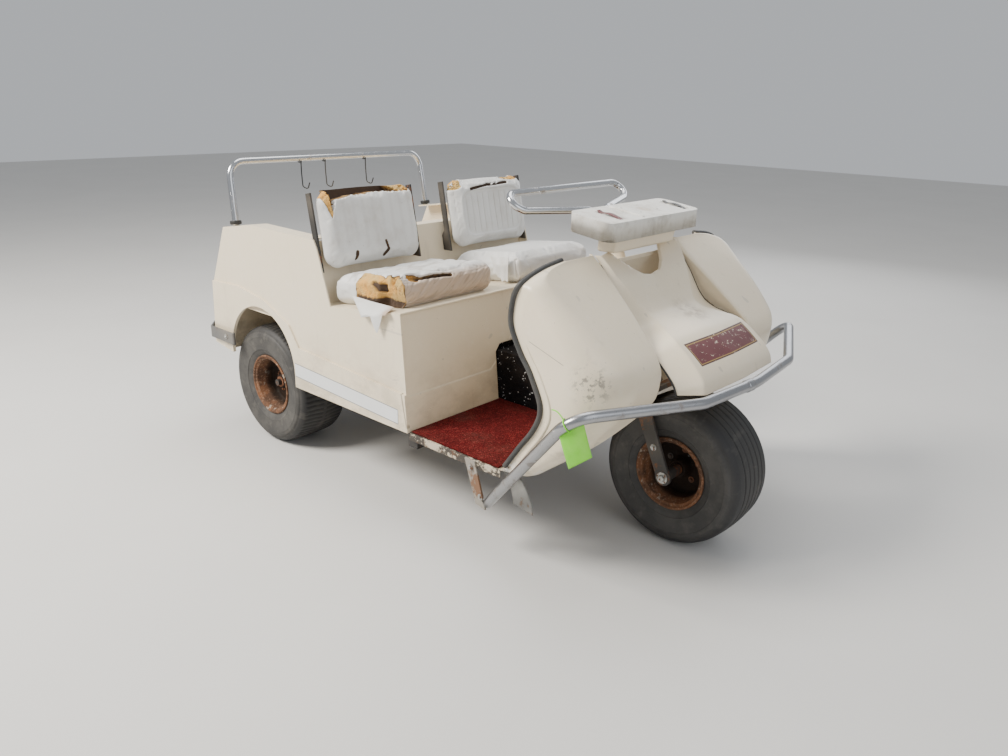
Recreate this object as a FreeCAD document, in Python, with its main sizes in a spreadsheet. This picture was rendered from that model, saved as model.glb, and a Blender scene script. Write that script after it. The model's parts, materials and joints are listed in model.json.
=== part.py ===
import FreeCAD, Part
import Sketcher
import math
import os

# A three-wheel golf cart, in millimetres: +Z up, its front faces -Y, its left side is +X.
# The origin is on the ground under the middle of the cart's length.
# Every piece is drawn in the cart's own lengthwise measure, which starts at the front axle and
# grows to the rear. Each piece's Placement then moves it so that the front tyre and the rear
# bumper lie at equal distances from the origin.

DOC = FreeCAD.newDocument("golf_cart")
SHEET = DOC.addObject("Spreadsheet::Sheet", "Sizes")
V = FreeCAD.Vector

# Driving dimensions: alias, value
SIZES = [
    ("wheelbase", 1505.0),
    ("tyre_radius", 228.5),
    ("tyre_half_width", 107.0),
    ("rim_flange_radius", 116.0),
    ("rim_seat_radius", 101.0),
    ("rim_half_width", 95.0),
    ("rear_track", 800.0),
    ("spindle_radius", 12.5),
    ("running_fit", 0.05),
    ("soft_gap", 0.3),
    ("body_half_width", 519.0),
    ("shell_wall", 5.0),
    ("side_flare", 7.0),
    ("floor_top", 285.0),
    ("floor_front", 300.0),
    ("floor_edge_depth", 24.0),
    ("pan_gauge", 3.0),
    ("mat_thickness", 7.0),
    ("box_front", 684.0),
    ("box_top_front", 722.0),
    ("deck_front_height", 663.0),
    ("deck_rear", 1120.0),
    ("deck_rear_height", 615.0),
    ("bulkhead_top", 1160.0),
    ("wall_height", 830.0),
    ("flange_depth", 50.0),
    ("lip_width", 62.0),
    ("rear_end", 1820.0),
    ("arch_centre", 1488.0),
    ("arch_height", 335.0),
    ("arch_radius", 206.0),
    ("house_reach", 237.0),
    ("house_top", 520.0),
    ("house_inner", 264.0),
    ("bag_floor_height", 430.0),
    ("rail_half_gap", 230.0),
    ("rail_width", 40.0),
    ("rail_height", 50.0),
    ("tunnel_half_width", 98.0),
    ("tunnel_height", 462.0),
    ("wheel_room_rear", 264.0),
    ("rake", 24.0),
    ("fork_offset", 27.0),
    ("fork_half_gap", 119.0),
    ("stem_radius", 16.0),
    ("head_low", 268.0),
    ("head_high", 398.0),
    ("stem_high", 778.0),
    ("handle_radius", 11.0),
    ("handle_half_width", 300.0),
    ("tray_half_width", 245.0),
    ("tray_depth", 146.0),
    ("tray_front_height", 968.0),
    ("tray_rise", 20.0),
    ("tray_thickness", 57.0),
    ("ear_height", 871.0),
    ("bumper_radius", 19.0),
    ("bumper_reach", 106.0),
    ("rear_bumper_reach", 49.5),
    ("bag_rail_radius", 12.5),
    ("bag_rail_height", 1038.0),
    ("cushion_height", 105.0),
    ("cushion_width", 460.0),
    ("seat_split", 45.0),
    ("back_width", 422.0),
    ("back_thickness", 62.0),
]
for row, (alias, size) in enumerate(SIZES, start=1):
    SHEET.set("A%d" % row, alias)
    SHEET.set("B%d" % row, str(size))
    SHEET.setAlias("B%d" % row, alias)
DOC.recompute()

# The front axle lies this far from the origin along Y
FRONT_AXLE_Y = "((Sizes.tyre_radius - Sizes.wheelbase - Sizes.rear_bumper_reach - REAR) / 2)"
FRONT_AXLE_Y = FRONT_AXLE_Y.replace("REAR", "(Sizes.rear_end - Sizes.wheelbase)")
HALF = "Sizes.body_half_width"
WALL = "Sizes.shell_wall"
GAP = "Sizes.soft_gap"
INNER = "(%s - %s - %s)" % (HALF, WALL, GAP)
FLOOR = "Sizes.floor_top"
SIDES = ((-1, "right"), (1, "left"))
PARTS = []


def value(expression):
    """The number that a sheet expression gives now."""
    result = SHEET.evalExpression(str(expression))
    return float(getattr(result, "Value", result))


def keep(piece, label):
    """Name a finished piece and put it on the list of pieces to write."""
    piece.Label = label
    PARTS.append(piece)
    return piece


def seat(piece):
    """Move a piece drawn from the front axle to its place along the cart."""
    bound = dict((path.lstrip("."), text) for path, text in piece.ExpressionEngine)
    drawn = bound.get("Placement.Base.y", repr(piece.Placement.Base.y))
    piece.setExpression("Placement.Base.y", "(%s) + %s" % (drawn, FRONT_AXLE_Y))
    return piece


# Sketch work: an outline's points are (across, up) pairs of sheet expressions
def new_body(name):
    return DOC.addObject("PartDesign::Body", name)


def new_sketch(body, role, name, offset="0"):
    sketch = body.newObject("Sketcher::SketchObject", name)
    plane = [one for one in body.Origin.OriginFeatures if one.Role == role][0]
    sketch.AttachmentSupport = (plane, [""])
    sketch.MapMode = "FlatFace"
    sketch.setExpression("AttachmentOffset.Base.z", offset)
    return sketch


def hold(sketch, kind, geometry, place, expression):
    """Hold one coordinate of a sketch point by a sheet expression."""
    row = sketch.addConstraint(
        Sketcher.Constraint(kind, -1, 1, geometry, place, value(expression)))
    sketch.setExpression("Constraints[%d]" % row, str(expression))


def polygon(sketch, points):
    """A closed outline whose every corner is held by the sheet."""
    corners = [V(value(across), value(up), 0) for across, up in points]
    first = sketch.GeometryCount
    count = len(corners)
    for index in range(count):
        line = Part.LineSegment(corners[index], corners[(index + 1) % count])
        sketch.addGeometry(line, False)
    for index in range(count):
        following = first + (index + 1) % count
        sketch.addConstraint(Sketcher.Constraint("Coincident", first + index, 2, following, 1))
    for index, (across, up) in enumerate(points):
        hold(sketch, "DistanceX", first + index, 1, across)
        hold(sketch, "DistanceY", first + index, 1, up)


def circle(sketch, across, up, radius):
    """A circle whose centre and radius are held by the sheet."""
    ring = Part.Circle(V(value(across), value(up), 0), V(0, 0, 1), value(radius))
    place = sketch.addGeometry(ring, False)
    hold(sketch, "DistanceX", place, 3, across)
    hold(sketch, "DistanceY", place, 3, up)
    row = sketch.addConstraint(Sketcher.Constraint("Radius", place, value(radius)))
    sketch.setExpression("Constraints[%d]" % row, str(radius))


def pad(body, sketch, length, both_ways=False):
    feature = body.newObject("PartDesign::Pad", body.Name + "_pad%d" % len(body.Group))
    feature.Profile = sketch
    feature.Midplane = both_ways
    feature.setExpression("Length", str(length))
    return feature


def pocket(body, sketch, length):
    """A cut both ways from its sketch, so it always meets the solid."""
    feature = body.newObject("PartDesign::Pocket", body.Name + "_cut%d" % len(body.Group))
    feature.Profile = sketch
    feature.Midplane = True
    feature.setExpression("Length", str(length))
    return feature


def side_pad(name, points, length, near="0", both_ways=False):
    """A body padded across the cart from a lengthwise outline, from the place named by near."""
    body = new_body(name)
    sketch = new_sketch(body, "YZ_Plane", name + "_outline", near)
    polygon(sketch, points)
    pad(body, sketch, length, both_ways)
    return body


def box(name, across, along, up):
    """A block from three (low, high) pairs of sheet expressions."""
    block = DOC.addObject("Part::Box", name)
    for key, length, (low, high) in (("x", "Length", across), ("y", "Width", along),
                                     ("z", "Height", up)):
        block.setExpression(length, "(%s) - (%s)" % (high, low))
        block.setExpression("Placement.Base." + key, str(low))
    return block


def cylinder(name, radius, start, end):
    """A round bar between two points given as triples of sheet expressions."""
    bar = DOC.addObject("Part::Cylinder", name)
    low = V(*[value(one) for one in start])
    high = V(*[value(one) for one in end])
    bar.setExpression("Radius", str(radius))
    bar.Height = (high - low).Length
    bar.Placement = FreeCAD.Placement(low, FreeCAD.Rotation(V(0, 0, 1), high - low))
    return bar


def feature(name, shape):
    """A piece whose form is worked out from the sheet by the lines above its call."""
    piece = DOC.addObject("Part::Feature", name)
    piece.Shape = shape
    return piece


def fuse(name, shapes):
    joined = DOC.addObject("Part::MultiFuse", name)
    joined.Shapes = shapes
    return joined


def common(name, shapes):
    shared = DOC.addObject("Part::MultiCommon", name)
    shared.Shapes = shapes
    return shared


def cut(name, base, tool):
    result = DOC.addObject("Part::Cut", name)
    result.Base = base
    result.Tool = tool
    return result


def rounded(name, base, radius, chosen):
    """The base with those edges rounded for which chosen gives True."""
    DOC.recompute()
    result = DOC.addObject("Part::Fillet", name)
    result.Base = base
    picked = [number for number, edge in enumerate(base.Shape.Edges, start=1) if chosen(edge)]
    result.Edges = [(number, value(radius), value(radius)) for number in picked]
    return result


def mirrored(name, source):
    """The same piece for the other side of the cart."""
    copy = DOC.addObject("Part::Mirroring", name)
    copy.Source = source
    copy.Base = V(0, 0, 0)
    copy.Normal = V(1, 0, 0)
    return copy


def both_sides(piece, label):
    """Keep a right-hand piece and its mirror image."""
    keep(seat(piece), label + "_right")
    keep(mirrored(label + "_left_form", piece), label + "_left")


def rounded_path(points, bends):
    """Edges of straight runs through the points, joined by tangent arcs of the given radii."""
    edges = []
    last = points[0]
    for index, bend in enumerate(bends, start=1):
        corner = points[index]
        back = (points[index - 1] - corner).normalize()
        ahead = (points[index + 1] - corner).normalize()
        turn = math.pi - back.getAngle(ahead)
        start = corner + back * bend * math.tan(turn / 2)
        end = corner + ahead * bend * math.tan(turn / 2)
        middle = corner + (back + ahead).normalize() * bend * (1 / math.cos(turn / 2) - 1)
        edges.append(Part.LineSegment(last, start).toShape())
        edges.append(Part.Arc(start, middle, end).toShape())
        last = end
    edges.append(Part.LineSegment(last, points[-1]).toShape())
    return edges


def tube(name, points, radius, bends):
    """A bent round tube, closed at its ends, along a rounded path."""
    path = Part.Wire(rounded_path(points, bends))
    ring = Part.Wire(Part.Circle(points[0], points[1] - points[0], radius).toShape())
    return feature(name, path.makePipeShell([ring], True, False))


def strip(outer, outer_bends, inner, inner_bends):
    """A closed wall section between an outer path and an inner one run the other way."""
    edges = rounded_path(outer, outer_bends)
    edges.append(Part.LineSegment(outer[-1], inner[0]).toShape())
    edges.extend(rounded_path(inner, inner_bends))
    edges.append(Part.LineSegment(inner[-1], outer[0]).toShape())
    return Part.Wire(edges)


# Frame: two side rails that kick up over the rear axle, cross members and spring hangers
RAIL_TOP = "(Sizes.floor_top - Sizes.pan_gauge)"
RAIL_LOW = "(%s - Sizes.rail_height)" % RAIL_TOP
KICK_TOP = "(Sizes.bag_floor_height - 4)"
KICK = "(%s - Sizes.rail_height)" % KICK_TOP
FRAME_FRONT = "(Sizes.floor_front + 30)"
FRAME_REAR = "(Sizes.rear_end - 25)"
SPRING_HALF_SPAN = 273
SPRING_EYE_LOW = 285.8


def frame_rails():
    side = [(FRAME_FRONT, RAIL_LOW), ("Sizes.bulkhead_top + 20", RAIL_LOW),
            ("Sizes.bulkhead_top + 105", KICK), (FRAME_REAR, KICK), (FRAME_REAR, KICK_TOP),
            ("Sizes.bulkhead_top + 85", KICK_TOP), ("Sizes.bulkhead_top", RAIL_TOP),
            (FRAME_FRONT, RAIL_TOP)]
    rails = []
    for sign, tag in SIDES:
        near = "%d * Sizes.rail_half_gap - Sizes.rail_width / 2" % sign
        rails.append(side_pad("frame_rail_" + tag, side, "Sizes.rail_width", near))
    return rails


def spring_hangers():
    hangers = []
    for sign, tag in SIDES:
        for place, end in (("front", -SPRING_HALF_SPAN), ("rear", SPRING_HALF_SPAN)):
            near = "%d * Sizes.rail_half_gap" % sign
            middle = "Sizes.wheelbase + %d" % (end * 0.968)
            hangers.append(box("hanger_%s_%s" % (place, tag), (near + " - 19", near + " + 19"),
                               (middle + " - 13", middle + " + 13"), ("294.3", KICK + " + 4")))
    return hangers


def cross_members():
    between = "Sizes.rail_half_gap - Sizes.rail_width / 2 + 1"
    members = []
    for number, (along, low, reach) in enumerate(((FRAME_FRONT, RAIL_LOW, between),
                                                  ("660", RAIL_LOW, HALF + " - 12"),
                                                  ("1130", RAIL_LOW, between),
                                                  ("1270", KICK, between),
                                                  (FRAME_REAR + " - 40", KICK, between))):
        members.append(box("frame_cross_%d" % number, ("-(%s)" % reach, reach),
                           (along, along + " + 40"), (low, low + " + Sizes.rail_height")))
    return members


def axis_point(along_axis):
    """A point on the steering axis at a distance up it from beside the hub."""
    lean = math.radians(value("Sizes.rake"))
    offset = value("Sizes.fork_offset")
    foot = V(0, offset * math.cos(lean), value("Sizes.tyre_radius") - offset * math.sin(lean))
    return foot + V(0, math.sin(lean), math.cos(lean)) * along_axis


LEAN = FreeCAD.Rotation(V(1, 0, 0), -value("Sizes.rake"))


def leaning(name, shape):
    """A piece drawn upright about the steering axis and then leaned back with it."""
    piece = feature(name, shape)
    piece.Placement = FreeCAD.Placement(axis_point(0), LEAN)
    return piece


def axis_tube(name, outer, bore, low, high):
    """A tube about the steering axis between two distances up it."""
    wall = Part.makeCylinder(outer, high - low, V(0, 0, low))
    return leaning(name, wall.cut(Part.makeCylinder(bore, high - low, V(0, 0, low))))


def steering_head():
    """The head tube and the two neck plates that tie it to the front cross member."""
    low = value("Sizes.head_low")
    high = value("Sizes.head_high")
    bore = value("Sizes.stem_radius + Sizes.running_fit")
    pieces = [axis_tube("head_tube", 29, bore, low, high)]
    front = value(FRAME_FRONT)
    top = value(RAIL_TOP) - 0.3
    for sign, tag in SIDES:
        inner = 24 * sign - 4
        first = axis_point(low + 27)
        last = axis_point(high - 12)
        corners = [V(inner, first.y, first.z), V(inner, last.y, last.z), V(inner, front, 330),
                   V(inner, front + 20, top), V(inner, front + 20, 240), V(inner, front + 1, 240),
                   V(inner, 275, 330)]
        plate = feature("neck_" + tag, Part.Face(Part.makePolygon(corners + [corners[0]]))
                        .extrude(V(8, 0, 0)))
        core = leaning("neck_core_" + tag, Part.makeCylinder(20, 600))
        pieces.append(cut("neck_plate_" + tag, plate, core))
    return pieces


keep(seat(fuse("frame_welded", frame_rails() + spring_hangers() + cross_members()
               + steering_head())), "frame")

# Floor: a steel pan with down-turned edges, a red mat each side and the middle left open for
# the neck plates under the tunnel
pan_blank = box("floor_blank", ("-(%s)" % HALF, HALF), ("Sizes.floor_front", "Sizes.box_front"),
                (RAIL_TOP, FLOOR))
pan_slot = box("floor_slot", ("-32", "32"), ("Sizes.floor_front - 1", FRAME_FRONT + " + 24"),
               (RAIL_TOP + " - 1", FLOOR + " + 1"))
floor_pieces = [cut("floor_plate", pan_blank, pan_slot)]
for sign, tag in SIDES:
    low = "-(%s)" % HALF if sign < 0 else "%s - Sizes.pan_gauge" % HALF
    floor_pieces.append(box("floor_edge_" + tag, (low, low + " + Sizes.pan_gauge"),
                            ("Sizes.floor_front", "Sizes.box_front"),
                            (FLOOR + " - Sizes.floor_edge_depth", FLOOR)))
keep(seat(fuse("floor_pan_welded", floor_pieces)), "floor_pan")

for sign, tag in SIDES:
    inner = "Sizes.tunnel_half_width + 2"
    outer = HALF + " - 6"
    pair = ("-(%s)" % outer, "-(%s)" % inner) if sign < 0 else (inner, outer)
    keep(seat(box("mat_" + tag, pair, ("Sizes.floor_front + 12", "Sizes.box_front - 4"),
                  (FLOOR, FLOOR + " + Sizes.mat_thickness"))), "floor_mat_" + tag)

# Tunnel: a carpeted cover over the neck plates, from the wheel housing to under the seat box
TUNNEL_FRONT = "(Sizes.wheel_room_rear + 5)"
tunnel = side_pad("tunnel", [(TUNNEL_FRONT, FLOOR), ("Sizes.box_front - 2", FLOOR),
                             ("Sizes.box_front + 16", "Sizes.tunnel_height"),
                             (TUNNEL_FRONT, "Sizes.tunnel_height")],
                  "2 * Sizes.tunnel_half_width", both_ways=True)
tunnel_room = new_sketch(tunnel, "YZ_Plane", "tunnel_room")
polygon(tunnel_room, [(TUNNEL_FRONT + " - 20", FLOOR + " - 20"), ("Sizes.box_front + 40", FLOOR + " - 20"),
                      ("Sizes.box_front + 40", "Sizes.tunnel_height - 4"),
                      (TUNNEL_FRONT + " - 20", "Sizes.tunnel_height - 4")])
pocket(tunnel, tunnel_room, "2 * (Sizes.tunnel_half_width - 4)")
keep(seat(tunnel), "centre_tunnel")

# Seat box: front panel with its centre cut-out, deck, and the bulkhead behind the seats
DECK_SLOPE = "((Sizes.deck_rear_height - Sizes.deck_front_height)" \
             " / (Sizes.deck_rear - Sizes.box_top_front))"


def deck_at(along):
    """The deck's height at a lengthwise place."""
    return "(Sizes.deck_front_height + (%s - Sizes.box_top_front) * %s)" % (along, DECK_SLOPE)


PANEL_TOP = "(Sizes.deck_front_height - %s - 1)" % WALL
panel = side_pad("panel", [("Sizes.box_front", FLOOR), ("Sizes.box_front + " + WALL, FLOOR),
                           ("Sizes.box_top_front + " + WALL, PANEL_TOP + " - 3"),
                           ("Sizes.box_top_front", PANEL_TOP)], "2 * " + INNER, both_ways=True)
notch = new_sketch(panel, "XZ_Plane", "panel_notch", "-Sizes.box_front")
NOTCH = "(Sizes.tunnel_half_width + 2)"
polygon(notch, [("-" + NOTCH, FLOOR + " - 10"), (NOTCH, FLOOR + " - 10"),
                (NOTCH, "Sizes.tunnel_height - 6"), (NOTCH + " - 22", "Sizes.tunnel_height + 18"),
                ("22 - " + NOTCH, "Sizes.tunnel_height + 18"), ("-" + NOTCH, "Sizes.tunnel_height - 6")])
pocket(panel, notch, "200")
keep(seat(panel), "seat_box_panel")

BULKHEAD_SEAM = "(Sizes.wall_height - 10)"
deck = side_pad("deck", [("Sizes.box_top_front - 6", deck_at("(Sizes.box_top_front - 6)") + " - " + WALL),
                         ("Sizes.box_top_front - 6", deck_at("(Sizes.box_top_front - 6)")),
                         ("Sizes.deck_rear", "Sizes.deck_rear_height"),
                         ("Sizes.bulkhead_top - 2", BULKHEAD_SEAM),
                         ("Sizes.bulkhead_top + 2", BULKHEAD_SEAM),
                         ("Sizes.deck_rear + 4", "Sizes.deck_rear_height - " + WALL)],
                "2 * " + INNER, both_ways=True)
deck_flange = new_sketch(deck, "YZ_Plane", "deck_flange")
polygon(deck_flange, [("Sizes.bulkhead_top - 3", BULKHEAD_SEAM + " - 5"),
                      ("Sizes.bulkhead_top", "Sizes.wall_height"),
                      ("Sizes.bulkhead_top + Sizes.flange_depth", "Sizes.wall_height"),
                      ("Sizes.bulkhead_top + Sizes.flange_depth", "Sizes.wall_height - " + WALL),
                      ("Sizes.bulkhead_top + 4", "Sizes.wall_height - " + WALL),
                      ("Sizes.bulkhead_top + 1", BULKHEAD_SEAM + " - 5")])
pad(deck, deck_flange, "2 * (%s - Sizes.lip_width - 2)" % HALF, True)
keep(seat(deck), "seat_deck")

# Body sides: each wall carries its wheel arch, an in-turned top lip and a lower part that
# stands out below a crease
UPPER = [("Sizes.box_front", FLOOR), ("Sizes.box_top_front - 6", "Sizes.deck_front_height"),
         ("1063", "Sizes.deck_rear_height + 6"), ("1122", "Sizes.wall_height - 23"),
         ("1136", "Sizes.wall_height + 1"), ("1500", "Sizes.wall_height + 6"),
         ("1698", "Sizes.wall_height - 24"), ("1803", "589"), ("Sizes.rear_end", "340"),
         ("1690", "323"), ("1560", "323"), ("1420", FLOOR)]
LOWER = [("Sizes.box_front", FLOOR), ("Sizes.box_front + 11", "408"), ("1251", "437"),
         ("1303", "510"), ("1452", "573"), ("1615", "597"), ("1803", "589"),
         ("Sizes.rear_end", "340"), ("1690", "323"), ("1560", "323"), ("1420", FLOOR)]
LIP = [("1152", "Sizes.wall_height + 1"), ("1500", "Sizes.wall_height + 6"),
       ("1698", "Sizes.wall_height - 24"), ("1697", "Sizes.wall_height - 24 - " + WALL),
       ("1500", "Sizes.wall_height + 6 - " + WALL), ("1152", "Sizes.wall_height + 1 - " + WALL)]
side = side_pad("side", UPPER, WALL, "-%s" % HALF)
side_crease = new_sketch(side, "YZ_Plane", "side_crease", "-%s - Sizes.side_flare" % HALF)
polygon(side_crease, LOWER)
pad(side, side_crease, "Sizes.side_flare + 1")
arch = new_sketch(side, "YZ_Plane", "side_arch", "-" + HALF)
circle(arch, "Sizes.arch_centre", "Sizes.arch_height", "Sizes.arch_radius")
pocket(side, arch, "60")
arch_low = new_sketch(side, "YZ_Plane", "side_arch_low", "-" + HALF)
ARCH_ENDS = ("Sizes.arch_centre - Sizes.arch_radius", "Sizes.arch_centre + Sizes.arch_radius")
polygon(arch_low, [(ARCH_ENDS[0], "250"), (ARCH_ENDS[1], "250"),
                   (ARCH_ENDS[1], "Sizes.arch_height"), (ARCH_ENDS[0], "Sizes.arch_height")])
pocket(side, arch_low, "60")
lip = new_sketch(side, "YZ_Plane", "side_lip", "-" + HALF)
polygon(lip, LIP)
pad(side, lip, "Sizes.lip_width")
both_sides(side, "side_panel")

# Bag well: a floor, a low rear panel and a wheel house each side that is open to its arch
HOUSE_FRONT = "(Sizes.wheelbase - Sizes.house_reach)"
HOUSE_REAR = "(Sizes.wheelbase + Sizes.house_reach)"
HOUSE_LOW = "(Sizes.arch_height - 12)"
bag_floor = box("bag_floor_plate", ("-(%s)" % INNER, INNER),
                ("Sizes.bulkhead_top + 30", "Sizes.rear_end - 22"), (KICK_TOP, "Sizes.bag_floor_height"))
well_cuts = []
for sign, tag in SIDES:
    reach = ("Sizes.house_inner - 1", INNER + " + 1")
    pair = ("-(%s)" % reach[1], "-(%s)" % reach[0]) if sign < 0 else reach
    well_cuts.append(box("well_cut_" + tag, pair, (HOUSE_FRONT + " - 1", HOUSE_REAR + " + 1"),
                         (KICK_TOP + " - 5", "Sizes.bag_floor_height + 5")))
keep(seat(cut("bag_floor_cut", bag_floor, fuse("well_cuts", well_cuts))), "bag_floor")
house_block = box("house_block", ("-(%s)" % INNER, "-Sizes.house_inner"), (HOUSE_FRONT, HOUSE_REAR),
                  (HOUSE_LOW, "Sizes.house_top"))
house_room = box("house_room", ("-(%s) - 1" % INNER, "-Sizes.house_inner - 4"),
                 (HOUSE_FRONT + " + 4", HOUSE_REAR + " - 4"), (HOUSE_LOW + " - 5", "Sizes.house_top - 4"))
both_sides(cut("wheel_house_form", house_block, house_room), "wheel_house")
rear = side_pad("rear", [("Sizes.rear_end - 5", "330"), ("Sizes.rear_end", "330"),
                         ("Sizes.rear_end - 20", "600"), ("Sizes.rear_end - 25", "600")],
                "2 * (%s)" % INNER, both_ways=True)
keep(seat(rear), "rear_panel")

# Front shell: each fender is a wall lofted through level sections. A section starts at the
# trimmed rear edge, runs forward along the side, rounds the corner, crosses the front and
# ends in a flange turned in beside the centre cowl. Columns: inset of the side from the
# body's half width, trim along and up, front along and up, inner edge across and back of the
# front line, flange depth, corner bend.
FENDER = [
    (0, 292, 287, 189, 298, 455, 0, 14, 48),
    (3, 188, 433, 45, 428, 425, -26, 14, 62),
    (4, 163, 485, 0, 480, 300, -12, 16, 95),
    (4, 163, 527, -32, 522, 252, -2, 20, 125),
    (6, 209, 610, -57, 602, 262, 9, 40, 145),
    (7, 236, 640, -38, 639, 262, 7, 46, 120),
    (1, 276, 723, 55, 720, 240, 0, 60, 78),
    (0, 264, 799, 144, 797, 229, 0, 46, 60),
    (2, 247, 829, 181, 829, 220, 2, 26, 46),
    (40, 238, 852, 206, 851, 219, 2, 16, 20),
    (166, 237, 874, 228, 873, 226, 1, 15, 8),
]
EDGE_BEND = 12
SECTION_WALL = 1.3 * value(WALL)


def fender_section(row):
    inset, trim_along, trim_up, along, up, inner, back, flange, bend = row
    outer = value(HALF) - inset
    front = V(0, along, up)
    rearward = V(0, trim_along - along, trim_up - up)
    depth = rearward.Length
    rearward.normalize()
    wall = SECTION_WALL

    def place(across, behind):
        return V(-across, 0, 0) + front + rearward * behind

    skin = [place(outer, depth), place(outer, 0), place(inner, back), place(inner, back + flange)]
    lining = [place(inner + wall, back + flange), place(inner + wall, back + wall),
              place(outer - wall, wall), place(outer - wall, depth)]
    return strip(skin, [bend, EDGE_BEND], lining, [EDGE_BEND - wall, bend - wall])


fender_shape = Part.makeLoft([fender_section(row) for row in FENDER], True, True)
both_sides(feature("fender_form", fender_shape), "fender")

# Centre cowl: lofted through sections that dip to the middle at the tower, which carries the
# tray, and crown over the hood. Columns: crest across, along and up, the section's slope in
# degrees, edge across and its drop, the middle's drop, crest bend.
COWL = [
    (205, 216, 871, 0, 215.5, 15, 68, 5),
    (197, 190, 843, -20, 209.5, 16, 31, 7),
    (186, 170, 815, -40, 212.5, 16, 12, 8),
    (172, 152, 793, -46, 218.5, 20, 10, 12),
    (159, 133, 765, -46, 223.5, 24, 8, 14),
    (147, 117, 737, -48, 228.5, 26, 5, 16),
    (129, 94, 711, -55, 232.5, 28, 2, 18),
    (126, 66, 696, -65, 237.5, 28, -3, 18),
    (156, 21, 685, -68, 247.5, 30, -4, 18),
    (185, -29, 673, -62, 260.5, 37, -4, 20),
    (193, -74, 642, -50, 262.5, 40, -3, 22),
    (198, -116, 606, -40, 262.5, 46, -5, 24),
    (201, -140, 576, -20, 262.5, 54, -6, 24),
    (203, -146, 548, 0, 258.5, 56, -8, 24),
]
MIDDLE_BEND = 300


def cowl_section(row):
    crest, along, up, slope, edge, edge_drop, middle_drop, bend = row
    lean = math.radians(slope)
    wall = value(WALL)

    def place(across, drop):
        return V(across, along + drop * math.cos(lean), up + drop * math.sin(lean))

    middle_bend = min(MIDDLE_BEND, 60 * crest / abs(middle_drop))
    outer = [place(-edge, edge_drop), place(-crest, 0), place(0, middle_drop), place(crest, 0),
             place(edge, edge_drop)]
    inner = [place(edge, edge_drop + wall), place(crest, wall), place(0, middle_drop + wall),
             place(-crest, wall), place(-edge, edge_drop + wall)]
    bends = [bend, middle_bend, bend]
    return strip(outer, bends, inner, bends)


CUT_LOW = 796
SCOOP = [(-150, 900), (-133, 869), (-106, 843), (-80, 822), (-45, 803), (0, CUT_LOW), (45, 803),
         (80, 822), (106, 843), (133, 869), (150, 900)]
cowl_wall = feature("cowl_wall", Part.makeLoft([cowl_section(row) for row in COWL], True, True))
scoop_face = Part.Face(Part.makePolygon([V(across, 120, up) for across, up in SCOOP + SCOOP[:1]]))
scoop = feature("cowl_scoop", scoop_face.extrude(V(0, 230, 0)))
keep(seat(cut("cowl_cut", cowl_wall, scoop)), "centre_cowl")

# Inner liner: the footwell's front wall. It stands on the floor pan, lies against the fenders'
# trimmed edges and is boxed out in the middle to clear the steered wheel.
LINER_TOP = 830
LINER = [(value("Sizes.floor_front"), value(FLOOR))]
LINER += [(row[1] + value(GAP), row[2]) for row in FENDER if row[2] < LINER_TOP] + [(248, 840)]
liner_front = [(str(along), str(up)) for along, up in LINER]
liner_back = [("%s + 4" % along, up) for along, up in liner_front[::-1]]
liner_sheet = side_pad("liner_sheet", liner_front + liner_back, "2 * (%s)" % HALF, both_ways=True)
liner_face = new_body("liner_face")
liner_view = new_sketch(liner_face, "XZ_Plane", "liner_view", "-400")
LINER_EDGE = [(2, 280), (6, 433), (8, 575), (9, 640), (3, 715), (3, 800), (20, 842)]
polygon(liner_view, [("-(%s - %d)" % (HALF, inset), str(up)) for inset, up in LINER_EDGE]
        + [("%s - %d" % (HALF, inset), str(up)) for inset, up in LINER_EDGE[::-1]])
pad(liner_face, liner_view, "600")
ROOM_REAR = "Sizes.wheel_room_rear"
room_block = box("room_block", ("-250", "250"), ("150", ROOM_REAR + " + 4"), (FLOOR, "560"))
room_space = box("room_space", ("-246", "246"), ("100", ROOM_REAR), (FLOOR + " - 10", "800"))
liner_trimmed = common("liner_trimmed", [liner_sheet, liner_face])
liner_opened = cut("liner_opened", fuse("liner_boxed", [liner_trimmed, room_block]), room_space)
beyond = side_pad("liner_beyond", [("100", FLOOR + " - 5"), ("Sizes.floor_front", FLOOR + " - 5")]
                  + liner_front[:6] + [("100", liner_front[5][1])], "600", both_ways=True)
neck_slot = box("liner_neck_slot", ("-32", "32"), ("250", "320"), (FLOOR + " - 5", "446"))
tunnel_end = box("liner_tunnel_end", ("-(Sizes.tunnel_half_width + 1)", "Sizes.tunnel_half_width + 1"),
                 (ROOM_REAR + " + 4", "330"), (FLOOR + " - 5", "Sizes.tunnel_height + 1"))
column_hole = leaning("liner_column_hole", Part.makeCylinder(27, 900))
keep(seat(cut("liner_cut", liner_opened, fuse("liner_tools", [beyond, neck_slot, tunnel_end, column_hole]))),
     "inner_liner")

# Tray with rounded corners on its base, which stands on the tower's ears
TRAY_FRONT = 165
TRAY_REAR = "(%d + Sizes.tray_depth)" % TRAY_FRONT
TRAY_REAR_TOP = "(Sizes.tray_front_height + Sizes.tray_rise)"
TRAY_LOW = "(Sizes.tray_front_height - Sizes.tray_thickness)"
TRAY_REAR_LOW = "(%s + Sizes.tray_rise)" % TRAY_LOW


def tray_seat(along):
    """The height just under the tray's sloping underside at a lengthwise place."""
    return "(%s + 4 - %s + (%s - %d) / Sizes.tray_depth * Sizes.tray_rise)" % (
        TRAY_LOW, GAP, along, TRAY_FRONT)


tray_base = side_pad("tray_base_block", [("203", "Sizes.ear_height + " + GAP),
                                         ("268", "Sizes.ear_height + " + GAP),
                                         ("262", tray_seat("262")), ("192", tray_seat("192"))],
                     "320", both_ways=True)
keep(seat(tray_base), "tray_base")
tray_block = side_pad("tray", [(TRAY_FRONT, TRAY_LOW + " + 4"), (TRAY_REAR, TRAY_REAR_LOW + " + 4"),
                               (TRAY_REAR, TRAY_REAR_TOP), (TRAY_FRONT, "Sizes.tray_front_height")],
                      "2 * Sizes.tray_half_width", both_ways=True)


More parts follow.
